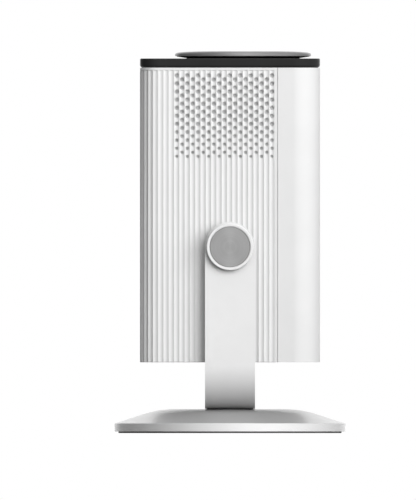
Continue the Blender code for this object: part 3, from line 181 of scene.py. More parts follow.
def buildSpunRings():
    # concentric tool marks round the piece's own Z axis
    group, given, result = startGroup(
        "Spun rings", (("Ring width", 0.0004), ("Unevenness", 0.3)), ("Height", "Tone")
    )
    split = addNode(group, "ShaderNodeSeparateXYZ")
    feed(group, split.inputs[0], objectPoint(group))
    across = calc(group, "POWER", split.outputs[0], 2.0)
    along = calc(group, "POWER", split.outputs[1], 2.0)
    radius = calc(group, "SQRT", calc(group, "ADD", across, along))
    line = addNode(group, "ShaderNodeCombineXYZ")
    feed(group, line.inputs[0], calc(group, "DIVIDE", radius, given.outputs["Ring width"]))
    rings = noise(group, line.outputs[0], 1.0, 3.0, 0.65)
    broad = noise(group, line.outputs[0], 0.12, 1.0)
    feed(group, result.inputs["Height"], rings)
    uneven = calc(group, "MULTIPLY", calc(group, "SUBTRACT", broad, 0.5), given.outputs["Unevenness"])
    feed(group, result.inputs["Tone"], calc(group, "ADD", calc(group, "SUBTRACT", rings, 0.5), uneven))
    return group


groups = {
    "grain": buildMouldGrain(),
    "wear": buildEdgeWear(),
    "handling": buildHandling(),
    "dust": buildDust(),
    "spun": buildSpunRings(),
}


def useGroup(tree, key, **values):
    node = addNode(tree, "ShaderNodeGroup", node_tree=groups[key])
    for name, value in values.items():
        node.inputs[name.replace("_", " ")].default_value = value
    return node.outputs


def grey(value):
    return (value, value, value, 1.0)


def newMaterial(name):
    material = bpy.data.materials.new(name)
    material.use_nodes = True
    return material, material.node_tree, material.node_tree.nodes["Principled BSDF"]


def surfaceMaterial(name, look):
    # a solid finish made of a colour, its grain, its gloss patches, worn edges and dust
    material, tree, shader = newMaterial(name)
    shader.inputs["Metallic"].default_value = look.get("metallic", 0.0)
    shader.inputs["IOR"].default_value = look.get("ior", 1.46)
    shader.inputs["Coat Weight"].default_value = look.get("coat", 0.0)
    shader.inputs["Coat Roughness"].default_value = look.get("coatRoughness", 0.1)
    shader.inputs["Anisotropic"].default_value = look.get("anisotropic", 0.0)
    shader.inputs["Anisotropic Rotation"].default_value = 0.25  # across the tool marks

    grain = useGroup(tree, "grain", Grain_size=look["grainSize"], Cloud_size=look["cloudSize"])
    height = grain["Height"]
    colour = blendColour(tree, grain["Cloud"], look["colour"], look["colourTwo"])
    if "ringWidth" in look:
        spun = useGroup(tree, "spun", Ring_width=look["ringWidth"], Unevenness=look["ringUneven"])
        height = calc(tree, "MULTIPLY_ADD", height, look["grainShare"], spun["Height"])
        tone = calc(tree, "MULTIPLY_ADD", spun["Tone"], look["ringTone"], 0.5, clamp=True)
        colour = blendColour(tree, tone, look["ringDark"], colour)
        tangent = addNode(tree, "ShaderNodeTangent", direction_type="RADIAL", axis="Z")
        tree.links.new(tangent.outputs[0], shader.inputs["Tangent"])
    wear = useGroup(tree, "wear", Amount=look["wear"], Patch_size=0.006)["Wear"]
    colour = blendColour(tree, wear, colour, look["wornColour"])
    dust = useGroup(tree, "dust", Amount=look["dust"], Speck_size=0.0008)["Dust"]
    colour = blendColour(tree, dust, colour, look.get("dustColour", grey(0.55)))
    if "bounce" in look:
        # lit surfaces nearby receive less light from this one, so undersides stay in shade
        seen = addNode(tree, "ShaderNodeLightPath").outputs["Is Camera Ray"]
        share = calc(tree, "MULTIPLY_ADD", seen, 1 - look["bounce"], look["bounce"])
        colour = blendColour(tree, share, grey(0.0), colour)
    tree.links.new(colour, shader.inputs["Base Color"])

    handling = useGroup(tree, "handling", Patch_size=look["cloudSize"], Contrast=look["glossChange"])
    gloss = calc(tree, "ADD", handling["Gloss change"], look["roughness"])
    gloss = calc(tree, "MULTIPLY_ADD", dust, 0.3, gloss, clamp=True)
    tree.links.new(gloss, shader.inputs["Roughness"])

    bump = addNode(tree, "ShaderNodeBump")
    bump.inputs["Strength"].default_value = look["bump"]
    bump.inputs["Distance"].default_value = look["bumpHeight"]
    tree.links.new(height, bump.inputs["Height"])
    tree.links.new(bump.outputs[0], shader.inputs["Normal"])
    return material


def look(**changes):
    values = {
        "colour": grey(0.8), "colourTwo": grey(0.78), "wornColour": grey(0.85),
        "roughness": 0.4, "glossChange": 0.12, "grainSize": 0.0005, "cloudSize": 0.03,
        "bump": 0.15, "bumpHeight": 0.00004, "wear": 0.3, "dust": 0.12,
    }
    values.update(changes)
    return values


def glassMaterial(name, colour, roughness, transmission, smears=0.08, coat=0.4, ior=1.5, sheen=grey(1.0)):
    material, tree, shader = newMaterial(name)
    shader.inputs["Metallic"].default_value = 0.0
    shader.inputs["Transmission Weight"].default_value = transmission
    shader.inputs["IOR"].default_value = ior
    shader.inputs["Specular Tint"].default_value = sheen  # colour of the anti-reflex coating
    shader.inputs["Coat Weight"].default_value = coat
    shader.inputs["Coat Roughness"].default_value = 0.03
    smear = useGroup(tree, "handling", Patch_size=0.012, Contrast=smears)["Gloss change"]
    tree.links.new(calc(tree, "ADD", smear, roughness, clamp=True), shader.inputs["Roughness"])
    cloud = useGroup(tree, "grain", Grain_size=0.001, Cloud_size=0.015)["Cloud"]
    second = tuple(0.94 * c for c in colour[:3]) + (1.0,)
    tree.links.new(blendColour(tree, cloud, colour, second), shader.inputs["Base Color"])
    return material


def boardMaterial(name):
    # solder mask over copper tracks, with bare pads
    material, tree, shader = newMaterial(name)
    point = objectPoint(tree)
    tracks = addNode(tree, "ShaderNodeTexBrick")
    feed(tree, tracks.inputs["Vector"], point)
    tracks.inputs["Scale"].default_value = 220.0
    tracks.inputs["Mortar Size"].default_value = 0.06
    tracks.inputs["Color1"].default_value = (0.012, 0.10, 0.045, 1)
    tracks.inputs["Color2"].default_value = (0.014, 0.12, 0.05, 1)
    tracks.inputs["Mortar"].default_value = (0.03, 0.22, 0.09, 1)
    pads = addNode(tree, "ShaderNodeTexVoronoi")
    feed(tree, pads.inputs["Vector"], point)
    pads.inputs["Scale"].default_value = 260.0
    spot = spread(tree, pads.outputs["Distance"], 0.10, 0.16, 1.0, 0.0)
    colour = blendColour(tree, spot, tracks.outputs["Color"], (0.75, 0.62, 0.35, 1))
    tree.links.new(colour, shader.inputs["Base Color"])
    tree.links.new(spot, shader.inputs["Metallic"])
    shader.inputs["Roughness"].default_value = 0.35
    bump = addNode(tree, "ShaderNodeBump")
    bump.inputs["Strength"].default_value = 0.3
    bump.inputs["Distance"].default_value = 0.00005
    tree.links.new(spot, bump.inputs["Height"])
    tree.links.new(bump.outputs[0], shader.inputs["Normal"])
    return material


def clothMaterial(name):
    # plain acoustic weave, threads crossing at a fixed pitch
    material, tree, shader = newMaterial(name)
    point = objectPoint(tree)
    waves = []
    for direction in ("X", "Z"):
        wave = addNode(tree, "ShaderNodeTexWave", bands_direction=direction)
        feed(tree, wave.inputs["Vector"], point)
        wave.inputs["Scale"].default_value = 900.0
        wave.inputs["Distortion"].default_value = 0.6
        waves.append(wave.outputs["Fac"])
    weave = calc(tree, "MULTIPLY", *waves)
    colour = blendColour(tree, weave, grey(0.62), grey(0.88))
    tree.links.new(colour, shader.inputs["Base Color"])
    shader.inputs["Roughness"].default_value = 0.9
    shader.inputs["Sheen Weight"].default_value = 0.3
    bump = addNode(tree, "ShaderNodeBump")
    bump.inputs["Strength"].default_value = 0.6
    bump.inputs["Distance"].default_value = 0.0001
    tree.links.new(weave, bump.inputs["Height"])
    tree.links.new(bump.outputs[0], shader.inputs["Normal"])
    return material


finishes = {
    "whiteShell": surfaceMaterial("White moulded shell", look(
        colour=grey(0.83), colourTwo=grey(0.81), wornColour=grey(0.86), roughness=0.42, dust=0.05,
        glossChange=0.08, wear=0.25)),
    "yokePaint": surfaceMaterial("White powder coat", look(
        colour=grey(0.89), colourTwo=grey(0.87), wornColour=grey(0.75), roughness=0.38,
        grainSize=0.0009, bump=0.2, bumpHeight=0.00005, wear=0.15, dust=0.04, bounce=0.25)),
    "basePaint": surfaceMaterial("Silver white paint", look(
        colour=grey(0.93), colourTwo=grey(0.90), wornColour=grey(0.75), roughness=0.40,
        metallic=0.45, grainSize=0.0007, bump=0.10, wear=0.2, dust=0.06, coat=0.5,
        coatRoughness=0.2, bounce=0.2)),
    "spunMetal": surfaceMaterial("Spun aluminium", look(
        colour=grey(0.66), colourTwo=grey(0.62), wornColour=grey(0.75), roughness=0.46,
        metallic=1.0, grainSize=0.0003, bump=0.35, bumpHeight=0.00003, wear=0.2, dust=0.05,
        glossChange=0.08, ringWidth=0.0003, ringUneven=0.4, ringTone=0.9, ringDark=grey(0.40),
        grainShare=0.1, anisotropic=0.85)),
    "blackCap": surfaceMaterial("Black satin cap", look(
        colour=grey(0.012), colourTwo=grey(0.015), wornColour=grey(0.05), roughness=0.30,
        bump=0.10, wear=0.3, dust=0.10, dustColour=grey(0.25), ior=1.33)),
    "blackPlastic": surfaceMaterial("Black matt plastic", look(
        colour=grey(0.022), colourTwo=grey(0.030), wornColour=grey(0.08), roughness=0.52,
        bump=0.25, bumpHeight=0.00006, wear=0.3, dust=0.10, dustColour=grey(0.25))),
    "deepBlack": surfaceMaterial("Black felt and gasket", look(
        colour=grey(0.020), colourTwo=grey(0.028), wornColour=grey(0.05), roughness=0.9, ior=1.15,
        grainSize=0.0004, bump=0.5, bumpHeight=0.0001, wear=0.1, dust=0.05, dustColour=grey(0.1))),
    "rubber": surfaceMaterial("Black rubber", look(
        colour=grey(0.17), colourTwo=grey(0.20), wornColour=grey(0.26), roughness=0.75,
        grainSize=0.0006, bump=0.4, bumpHeight=0.00008, wear=0.4, dust=0.2)),
    "steel": surfaceMaterial("Plated steel", look(
        colour=grey(0.52), colourTwo=grey(0.47), wornColour=grey(0.65), roughness=0.32,
        metallic=1.0, grainSize=0.0003, bump=0.2, wear=0.3)),
    "castIron": surfaceMaterial("Painted cast iron", look(
        colour=grey(0.06), colourTwo=grey(0.09), wornColour=grey(0.22), roughness=0.6,
        metallic=0.4, grainSize=0.0015, bump=0.6, bumpHeight=0.0002, wear=0.5)),
    "castAlloy": surfaceMaterial("Die cast alloy", look(
        colour=grey(0.42), colourTwo=grey(0.36), wornColour=grey(0.6), roughness=0.5,
        metallic=1.0, grainSize=0.0008, bump=0.4, bumpHeight=0.0001, wear=0.4)),
    "shrinkWrap": surfaceMaterial("Blue shrink wrap", look(
        colour=(0.02, 0.06, 0.20, 1), colourTwo=(0.03, 0.08, 0.25, 1),
        wornColour=(0.10, 0.16, 0.32, 1), roughness=0.28, grainSize=0.004, bump=0.4,
        bumpHeight=0.0002, coat=0.4)),
    "conePaper": surfaceMaterial("Speaker cone paper", look(
        colour=grey(0.05), colourTwo=grey(0.035), wornColour=grey(0.09), roughness=0.85,
        grainSize=0.0006, bump=0.6, bumpHeight=0.0001)),
    "board": boardMaterial("Circuit board"),
    "cloth": clothMaterial("Acoustic cloth"),
    "windowGlass": glassMaterial(
        "Coated window glass", (0.95, 0.96, 0.97, 1), 0.006, 1.0, smears=0.02, coat=0.0),
    "lensGlass": glassMaterial(
        "Coated lens glass", (0.85, 0.92, 0.97, 1), 0.01, 1.0, smears=0.02, coat=0.0, ior=1.8,
        sheen=(0.42, 0.30, 0.95, 1)),
    "darkWindow": glassMaterial("Dark sensor window", (0.012, 0.010, 0.016, 1), 0.06, 0.0),
}
print("materials", len(finishes))


# Mesh tools


def settle(name, built, finish, body, replaced=(), at=(0, 0, 0), turn=None, crease=38):
    # makes the piece, shades it, and hangs it on its body of the frame
    bmesh.ops.remove_doubles(built, verts=built.verts, dist=0.000002)
    bmesh.ops.recalc_face_normals(built, faces=built.faces)
    mesh = bpy.data.meshes.new(name)
    built.to_mesh(mesh)
    built.free()
    return settleMesh(name, mesh, finish, body, replaced, at, turn, crease)


def settleMesh(name, mesh, finish, body, replaced=(), at=(0, 0, 0), turn=None, crease=38):
    mesh.materials.clear()
    mesh.materials.append(finishes[finish])
    mesh.shade_smooth()
    mesh.set_sharp_from_angle(angle=math.radians(crease))
    piece = bpy.data.objects.new(name, mesh)
    bpy.context.scene.collection.objects.link(piece)
    piece.matrix_world = Matrix.Translation(at) @ (turn or Matrix.Identity(4))
    even = piece.modifiers.new("even", "WEIGHTED_NORMAL")
    even.keep_sharp = True
    if replaced:
        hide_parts(*replaced)
    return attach(piece, body)


def facing(direction):
    # turns a piece's own Z to a direction
    return Vector(direction).to_track_quat("Z", "Y").to_matrix().to_4x4()


def roundCorners(points, steps=5):
    # points are (radius or x, height, corner radius); each corner becomes an arc
    rounded = []
    for i, (x, z, radius) in enumerate(points):
        here = Vector((x, z))
        if radius == 0 or i in (0, len(points) - 1):
            rounded.append(here)
            continue
        back = (Vector(points[i - 1][:2]) - here).normalized()
        ahead = (Vector(points[i + 1][:2]) - here).normalized()
        half = back.angle(ahead) / 2
        reach = radius / math.tan(half)
        middle = here + (back + ahead).normalized() * (radius / math.sin(half))
        start = here + back * reach - middle
        end = here + ahead * reach - middle
        for j in range(steps + 1):
            rounded.append(middle + radius * start.slerp(end, j / steps))
    return rounded


def turn(built, profile, steps):
    # sweeps a closed profile, or one that starts and ends on the axis, round Z
    rings = []
    for x, z in profile:
        if abs(x) < 1e-7:
            rings.append([built.verts.new((0, 0, z))])
            continue
        ring = []
        for i in range(steps):
            angle = 2 * math.pi * i / steps
            ring.append(built.verts.new((x * math.cos(angle), x * math.sin(angle), z)))
        rings.append(ring)
    pairs = list(zip(rings, rings[1:]))
    if len(rings[0]) > 1:
        pairs.append((rings[-1], rings[0]))
    for upper, lower in pairs:
        for i in range(steps):
            j = (i + 1) % steps
            corners = [upper[i % len(upper)], upper[j % len(upper)]]
            corners += [lower[j % len(lower)], lower[i % len(lower)]]
            unique = list(dict.fromkeys(corners))
            if len(unique) > 2:
                built.faces.new(unique)


def turnedPiece(name, profile, finish, body, replaced, at, axis, steps=96, crease=38):
    built = bmesh.new()
    turn(built, roundCorners(profile), steps)
    return settle(name, built, finish, body, replaced, at, facing(axis), crease)


def roundedRectangle(width, depth, radius, steps):
    points = []
    for quarter, (right, far) in enumerate(((1, 1), (-1, 1), (-1, -1), (1, -1))):
        for i in range(steps + 1):
            angle = (quarter + i / steps) * math.pi / 2
            x = right * (width / 2 - radius) + radius * math.cos(angle)
            y = far * (depth / 2 - radius) + radius * math.sin(angle)
            points.append((x, y))
    return points


def stack(built, rings):
    # joins outlines of equal length into a closed body with flat ends
    made = [[built.verts.new(point) for point in ring] for ring in rings]
    for lower, higher in zip(made, made[1:]):
        for i in range(len(lower)):
            j = (i + 1) % len(lower)
            built.faces.new((lower[i], lower[j], higher[j], higher[i]))
    built.faces.new(made[0][::-1])
    built.faces.new(made[-1])


def edgedSlab(built, outlineAt, low, high, lowEdge, highEdge, edgeSteps=5):
    # a plate whose lower and upper edges are rolled over; outlineAt gives its plan for an inset
    profile = []
    for i in range(edgeSteps + 1):
        angle = i / edgeSteps * math.pi / 2
        profile.append((lowEdge * (1 - math.sin(angle)), low + lowEdge * (1 - math.cos(angle))))
    for i in range(edgeSteps + 1):
        angle = i / edgeSteps * math.pi / 2
        profile.append((highEdge * (1 - math.cos(angle)), high - highEdge * (1 - math.sin(angle))))
    stack(built, [[(x, y, z) for x, y in outlineAt(inset)] for inset, z in profile])


def plateOutline(width, depth, radius, steps):
    return lambda inset: roundedRectangle(width - 2 * inset, depth - 2 * inset, radius - inset, steps)


def meshOf(built, name="cutter"):
    bmesh.ops.recalc_face_normals(built, faces=built.faces)
    mesh = bpy.data.meshes.new(name)
    built.to_mesh(mesh)
    built.free()
    return mesh


def carve(mesh, cutters, bevel=0.0, bevelSteps=2):
    # cuts closed meshes out of another, rounds its edges, and gives the finished mesh
    work = bpy.data.objects.new("work", mesh)
    bpy.context.scene.collection.objects.link(work)
    used = []
    for cutter in cutters:
        tool = bpy.data.objects.new("tool", cutter)
        bpy.context.scene.collection.objects.link(tool)
        cut = work.modifiers.new("cut", "BOOLEAN")
        cut.solver = "MANIFOLD"
        cut.object = tool
        used.append(tool)
    if bevel:
        edge = work.modifiers.new("edge", "BEVEL")
        edge.width = bevel
        edge.segments = bevelSteps
        edge.limit_method = "ANGLE"
        edge.angle_limit = math.radians(45)
    bpy.context.view_layer.update()
    seen = work.evaluated_get(bpy.context.evaluated_depsgraph_get())
    finished = bpy.data.meshes.new_from_object(seen)
    for obj in used + [work]:
        bpy.data.objects.remove(obj)
    return finished


def cylinderMesh(radius, length, at, axis, steps=64):
    built = bmesh.new()
    bmesh.ops.create_cone(
        built, cap_ends=True, segments=steps, radius1=radius, radius2=radius, depth=length
    )
    built.transform(Matrix.Translation(at) @ facing(axis))
    return meshOf(built)


def slabMesh(width, height, radius, depth, at, axis, steps=8):
    # a rounded rectangle prism, its width along Y and its height along Z, pointing along X
    built = bmesh.new()
    outline = roundedRectangle(width, height, radius, steps)
    low, high = at[0] - depth / 2, at[0] + depth / 2
    stack(built, [[(x, at[1] + y, at[2] + z) for y, z in outline] for x in (low, high)])
    return meshOf(built)


# Casing

shellLow, shellHigh, shellMiddle = boxOf("rear_shell")
coverLow, coverHigh, coverMiddle = boxOf("front_cover")
capLow, capHigh, capMiddle = boxOf("top_cap")
panelLow, panelHigh, panelMiddle = boxOf("io_panel")
bezelLow, bezelHigh, bezelMiddle = boxOf("lens_bezel")
spacerMiddle = boxOf("hub_spacer_right")[2]
lensAxis = bezelMiddle.z
tiltAxis = spacerMiddle.z
sideY = shellHigh.y
frontX = coverHigh.x
rearX = shellLow.x
seamX = shellHigh.x

shellLook = {
    "frontCorner": 0.0175,
    "rearCorner": 0.012,
    "wall": 0.0026,
    "fluteCount": 81,
    "fluteDepth": 0.00055,
    "fluteSteps": 8,
    "land": 0.0018,  # plain strip beside each seam
    "edge": 0.0003,
    "collar": 0.0016,  # plain band above the flutes
    "collarStep": 0.0003,
    "hubOpening": 0.0113,
    "ventCount": 17,
    "ventWidth": 0.0014,
    "ventHeight": 0.048,
    "panelGap": 0.0003,
    "panelCorner": 0.0043,
}
holeLook = {
    "columns": 19,
    "rows": 21,
    "rowPitch": 0.00263,
    "firstRowDrop": 0.0051,  # top of the shell to the first row
    "radius": 0.00142,
    "lastRadius": 0.00100,
    "shrinkFromRow": 11,
    "edge": 0.0001,
    "sideSteps": 6,
}


def casingOutline(inset, steps=20):
    # plan of the whole casing, moved in from its outer face
    points = []
    for quarter, (end, side) in enumerate(((1, 1), (-1, 1), (-1, -1), (1, -1))):
        radius = shellLook["frontCorner"] if end > 0 else shellLook["rearCorner"]
        for i in range(steps + 1):
            angle = (quarter + i / steps) * math.pi / 2
            x = end * (frontX - radius) + (radius - inset) * math.cos(angle)
            points.append((x, side * (sideY - radius) + (radius - inset) * math.sin(angle)))
    return points


def shellPath():
    # plan of the fluted shell from one seam round the rear to the other
    radius = shellLook["rearCorner"]
    straight = seamX - (rearX + radius)
    arc = radius * math.pi / 2
    length = 2 * straight + 2 * arc + 2 * (sideY - radius)

    def at(distance):
        near = min(distance, length - distance)
        side = -1 if distance <= length / 2 else 1
        if near <= straight:
            return Vector((seamX - near, side * sideY, 0)), Vector((0, side, 0))
        if near <= straight + arc:
            angle = (near - straight) / radius
            out = Vector((-math.sin(angle), side * math.cos(angle), 0))
            return Vector((rearX + radius, side * (sideY - radius), 0)) + radius * out, out
        return Vector((rearX, side * (sideY - radius - (near - straight - arc)), 0)), Vector((-1, 0, 0))

    return length, at


def flutePitch():
    return (shellPath()[0] - 2 * shellLook["land"]) / shellLook["fluteCount"]


def holeRadius(row):
    late = max(0, row - holeLook["shrinkFromRow"]) / (holeLook["rows"] - 1 - holeLook["shrinkFromRow"])
    return holeLook["radius"] + (holeLook["lastRadius"] - holeLook["radius"]) * late


def buildFlutedShell():
    length, at = shellPath()
    pitch = flutePitch()
    values, holes = shellLook, holeLook
    bottom, top = shellLow.z, shellHigh.z
    fluteTop = top - values["collar"] - values["collarStep"]
    edge = values["edge"]
    built = bmesh.new()
    known = {}

    def vertex(s, z, layer, sink=0.0):
        key = (round(s * 1e7), round(z * 1e7), layer, round(sink * 1e7))
        if key in known:
            return known[key]
        point, out = at(s)
        if layer == "inner":
            depth = values["wall"]
        else:
            phase = (s - values["land"]) / pitch
            inFlute = 0 < phase < values["fluteCount"]
            fluted = inFlute and z <= fluteTop + 1e-7
            phase -= math.floor(phase)
            depth = values["fluteDepth"] * (1 - (2 * phase - 1) ** 2) if fluted else 0.0
            if min(s, length - s, z - bottom, top - z) < 1e-7:
                depth += edge
            depth += sink
        made = built.verts.new(point - depth * out + z * up)
        known[key] = made
        return made

    def face(*corners):
        unique = list(dict.fromkeys(corners))
        if len(unique) > 2:
            built.faces.new(unique)

    zoneTop = top - holes["firstRowDrop"] + holes["rowPitch"]
    zoneBottom = top - holes["firstRowDrop"] - holes["rows"] * holes["rowPitch"]
    step = 2 * holes["rowPitch"] / holes["sideSteps"]
    zoneSteps = round((zoneTop - zoneBottom) / step)
    zone = [zoneBottom + i * step for i in range(zoneSteps + 1)]
    plain = [bottom, bottom + edge, fluteTop, fluteTop + values["collarStep"], top - edge, top]
    marked = plain[:2] + zone + plain[2:]

    perforated = set(range(holes["columns"]))
    perforated |= {values["fluteCount"] - 1 - i for i in range(holes["columns"])}

    def levels(boundary):
        # heights of the points on the line between two flutes
        return marked if {boundary - 1, boundary} & perforated else plain

    def strip(s0, s1, left, right):
        for layer in ("outer", "inner"):
            shared = [z for z in left if z in right]
            for low, high in zip(shared, shared[1:]):
                rising = [vertex(s1, z, layer) for z in right if low <= z <= high]
                falling = [vertex(s0, z, layer) for z in reversed(left) if low <= z <= high]
                face(*rising, *falling)
        for z in (bottom, top):
            face(*(vertex(s, z, layer) for s, layer in (
                (s0, "outer"), (s1, "outer"), (s1, "inner"), (s0, "inner"))))

    def cell(s0, row):
        # one pitch of a flute with a round hole through its middle
        middleS = s0 + pitch / 2
        middleZ = top - holes["firstRowDrop"] - row * holes["rowPitch"]
        half = holes["rowPitch"]
        across, tall = values["fluteSteps"], holes["sideSteps"]
        corner = [(s0 + pitch * i / across, middleZ - half) for i in range(across)]
        corner += [(s0 + pitch, middleZ - half + 2 * half * i / tall) for i in range(tall)]
        corner += [(s0 + pitch - pitch * i / across, middleZ + half) for i in range(across)]
        corner += [(s0, middleZ + half - 2 * half * i / tall) for i in range(tall)]
        radius = holeRadius(row)
        loops = [[vertex(s, z, "outer") for s, z in corner]]
        for reach, layer, sink in (
            (radius + holes["edge"], "outer", 0.0),
            (radius, "outer", holes["edge"]),
            (radius, "inner", 0.0),
        ):
            ring = []
            for s, z in corner:
                angle = math.atan2(z - middleZ, s - middleS)
                ring.append(
                    vertex(middleS + reach * math.cos(angle), middleZ + reach * math.sin(angle), layer, sink)
                )
            loops.append(ring)
        loops.append([vertex(s, z, "inner") for s, z in corner])
        for outer, inner in zip(loops, loops[1:]):
            for i in range(len(outer)):
                j = (i + 1) % len(outer)
                face(outer[i], outer[j], inner[j], inner[i])

    for s0, s1 in ((0, edge), (edge, values["land"])):
        right = levels(0) if s1 == values["land"] else plain
        strip(s0, s1, plain, right)
        strip(length - s1, length - s0, right, plain)
    for flute in range(values["fluteCount"]):
        start = values["land"] + flute * pitch
        lines = [start + pitch * i / values["fluteSteps"] for i in range(values["fluteSteps"] + 1)]
        if flute not in perforated:
            for i, (s0, s1) in enumerate(zip(lines, lines[1:])):
                left = levels(flute) if i == 0 else plain
                right = levels(flute + 1) if i == len(lines) - 2 else plain
                strip(s0, s1, left, right)
            continue
        column = min(flute, values["fluteCount"] - 1 - flute)
        rows = [row for row in range(holes["rows"]) if row % 2 == column % 2]
        for row in rows:
            cell(start, row)
        halfCell = holes["sideSteps"] // 2
        spare = zone[: halfCell + 1], zone[-halfCell - 1 :]
        for s0, s1 in zip(lines, lines[1:]):
            stretches = [plain[:2] + zone[:1], zone[-1:] + plain[2:]]
            if column % 2:
                stretches += spare
            for layer in ("outer", "inner"):
                for stretch in stretches:
                    for low, high in zip(stretch, stretch[1:]):
                        face(
                            vertex(s0, low, layer), vertex(s1, low, layer),
                            vertex(s1, high, layer), vertex(s0, high, layer),
                        )
            for z in (bottom, top):
                face(*(vertex(s, z, layer) for s, layer in (
                    (s0, "outer"), (s1, "outer"), (s1, "inner"), (s0, "inner"))))
    for s in (0, length):
        outer = [vertex(s, z, "outer") for z in plain]
        inner = [vertex(s, z, "inner") for z in reversed(plain)]
        face(*outer, *inner)
    bmesh.ops.remove_doubles(built, verts=built.verts, dist=0.000002)
    bmesh.ops.recalc_face_normals(built, faces=built.faces)
    openEdges = sum(1 for e in built.edges if not e.is_manifold)
    print("fluted shell", len(built.faces), "faces", openEdges, "open edges")
    mesh = meshOf(built)

    reach = 2 * (sideY + values["wall"])
    cutters = [cylinderMesh(values["hubOpening"], reach, (0, 0, tiltAxis), (0, 1, 0))]
    size = panelHigh - panelLow
    gap = 2 * values["panelGap"]
    cutters.append(slabMesh(
        size.y + gap, size.z + gap, values["panelCorner"], 0.012, (rearX, 0, panelMiddle.z), (1, 0, 0)))
    slots = bmesh.new()
    outline = roundedRectangle(values["ventWidth"], values["ventHeight"], values["ventWidth"] * 0.49, 4)
    for i in range(values["ventCount"]):
        y = (i - (values["ventCount"] - 1) / 2) * pitch
        rings = [[(x, y + a, lensAxis + b) for a, b in outline] for x in (rearX - 0.004, rearX + 0.004)]
        stack(slots, rings)
    cutters.append(meshOf(slots))
    shell = carve(mesh, cutters)
    settleMesh("flutedShell", shell, "whiteShell", "projector", ("rear_shell",))


buildFlutedShell()

coverLook = {
    "wall": 0.0026,
    "tongueGap": 0.0003,
    "tongueThickness": 0.0015,
    "tongueLength": 0.004,
    "edge": 0.0003,
    "lensGap": 0.0003,
    "sensorGap": 0.0003,
    "cornerSteps": 24,
}


def buildFrontCover():
    values = coverLook
    start = seamX + values["tongueGap"]
    root = start + values["tongueLength"]
    tip = start - values["tongueLength"]
    radius = shellLook["frontCorner"]

    def path(inset, fromX):
        points = [(fromX, inset - sideY)]
        for side, quarter in ((-1, 3), (1, 0)):
            for i in range(values["cornerSteps"] + 1):
                angle = (quarter + i / values["cornerSteps"]) * math.pi / 2
                x = frontX - radius + (radius - inset) * math.cos(angle)
                y = side * (sideY - radius) + (radius - inset) * math.sin(angle)
                points.append((x, y))
        return points + [(fromX, sideY - inset)]

    outerTongue = values["wall"] + values["tongueGap"]
    innerTongue = outerTongue + values["tongueThickness"]
    tongue = [(start, outerTongue), (tip, outerTongue), (tip, innerTongue), (root, innerTongue)]
    outline = path(0, start) + [(x, sideY - inset) for x, inset in tongue]
    outline += path(values["wall"], root)[::-1]
    outline += [(x, inset - sideY) for x, inset in reversed(tongue)]
    built = bmesh.new()
    stack(built, [[(x, y, z) for x, y in outline] for z in (coverLow.z, coverHigh.z)])
    mesh = meshOf(built)
    lensRadius = (bezelHigh.y - bezelLow.y) / 2 + values["lensGap"]
    low, high, middle = boxOf("sensor_window")
    gap = 2 * values["sensorGap"]
    height = high.z - low.z + gap
    cutters = [
        cylinderMesh(lensRadius, 0.012, (frontX, 0, lensAxis), (1, 0, 0), 128),
        slabMesh(high.y - low.y + gap, height, height * 0.49, 0.012, (frontX, 0, middle.z), (1, 0, 0), 12),
    ]
    cover = carve(mesh, cutters, values["edge"])
    settleMesh("smoothFront", cover, "whiteShell", "projector", ("front_cover",))


buildFrontCover()

capLook = {
    "lowEdge": 0.0014,
    "highEdge": 0.0008,
    "wall": 0.0042,
    "roof": 0.0025,
    "holeGap": 0.0003,
    "gasketInset": 0.0012,
    "gasketWidth": 0.0012,
}
dialLow, dialHigh, dialMiddle = boxOf("dial_top")
skirtLow, skirtHigh, skirtMiddle = boxOf("dial_skirt")
buttonLow, buttonHigh, buttonMiddle = boxOf("power_button")
dialHub = 0.008
buttonRadius = 0.0056


def buildTopCap():
    values = capLook
    built = bmesh.new()
    edgedSlab(built, casingOutline, capLow.z, capHigh.z, values["lowEdge"], values["highEdge"], 6)
    mesh = meshOf(built)
    pocket = bmesh.new()
    heights = (capLow.z - 0.002, capHigh.z - values["roof"])
    stack(pocket, [[(x, y, z) for x, y in casingOutline(values["wall"], 8)] for z in heights])
    gap = values["holeGap"]
    cutters = [
        meshOf(pocket),
        cylinderMesh(dialHub + gap, 0.02, (dialMiddle.x, 0, capHigh.z), (0, 0, 1)),
        cylinderMesh(buttonRadius + gap, 0.02, (buttonMiddle.x, 0, capHigh.z), (0, 0, 1), 96),
    ]
    cap = carve(mesh, cutters)
    settleMesh("blackTop", cap, "blackCap", "projector", ("top_cap",), crease=30)

    # foam strip that closes the joint between the shell and the cap
    strips = []
    for inset, over in ((values["gasketInset"], 0.0), (values["gasketInset"] + values["gasketWidth"], 0.001)):
        built = bmesh.new()
        heights = (shellHigh.z - over, capLow.z + over)
        stack(built, [[(x, y, z) for x, y in casingOutline(inset, 10)] for z in heights])
        strips.append(meshOf(built))
    gasket = carve(strips[0], strips[1:])
    settleMesh("capGasket", gasket, "deepBlack", "projector")


buildTopCap()
print("casing")

# Dial and button

dialLook = {
    "crown": 5.0,
    "crownSteps": 24,
    "tip": 0.0002,
    "lip": 0.0002,  # the metal's edge hangs over the skirt
    "plate": 0.0016,
    "neck": 0.0372,
    "felt": 0.004,
}


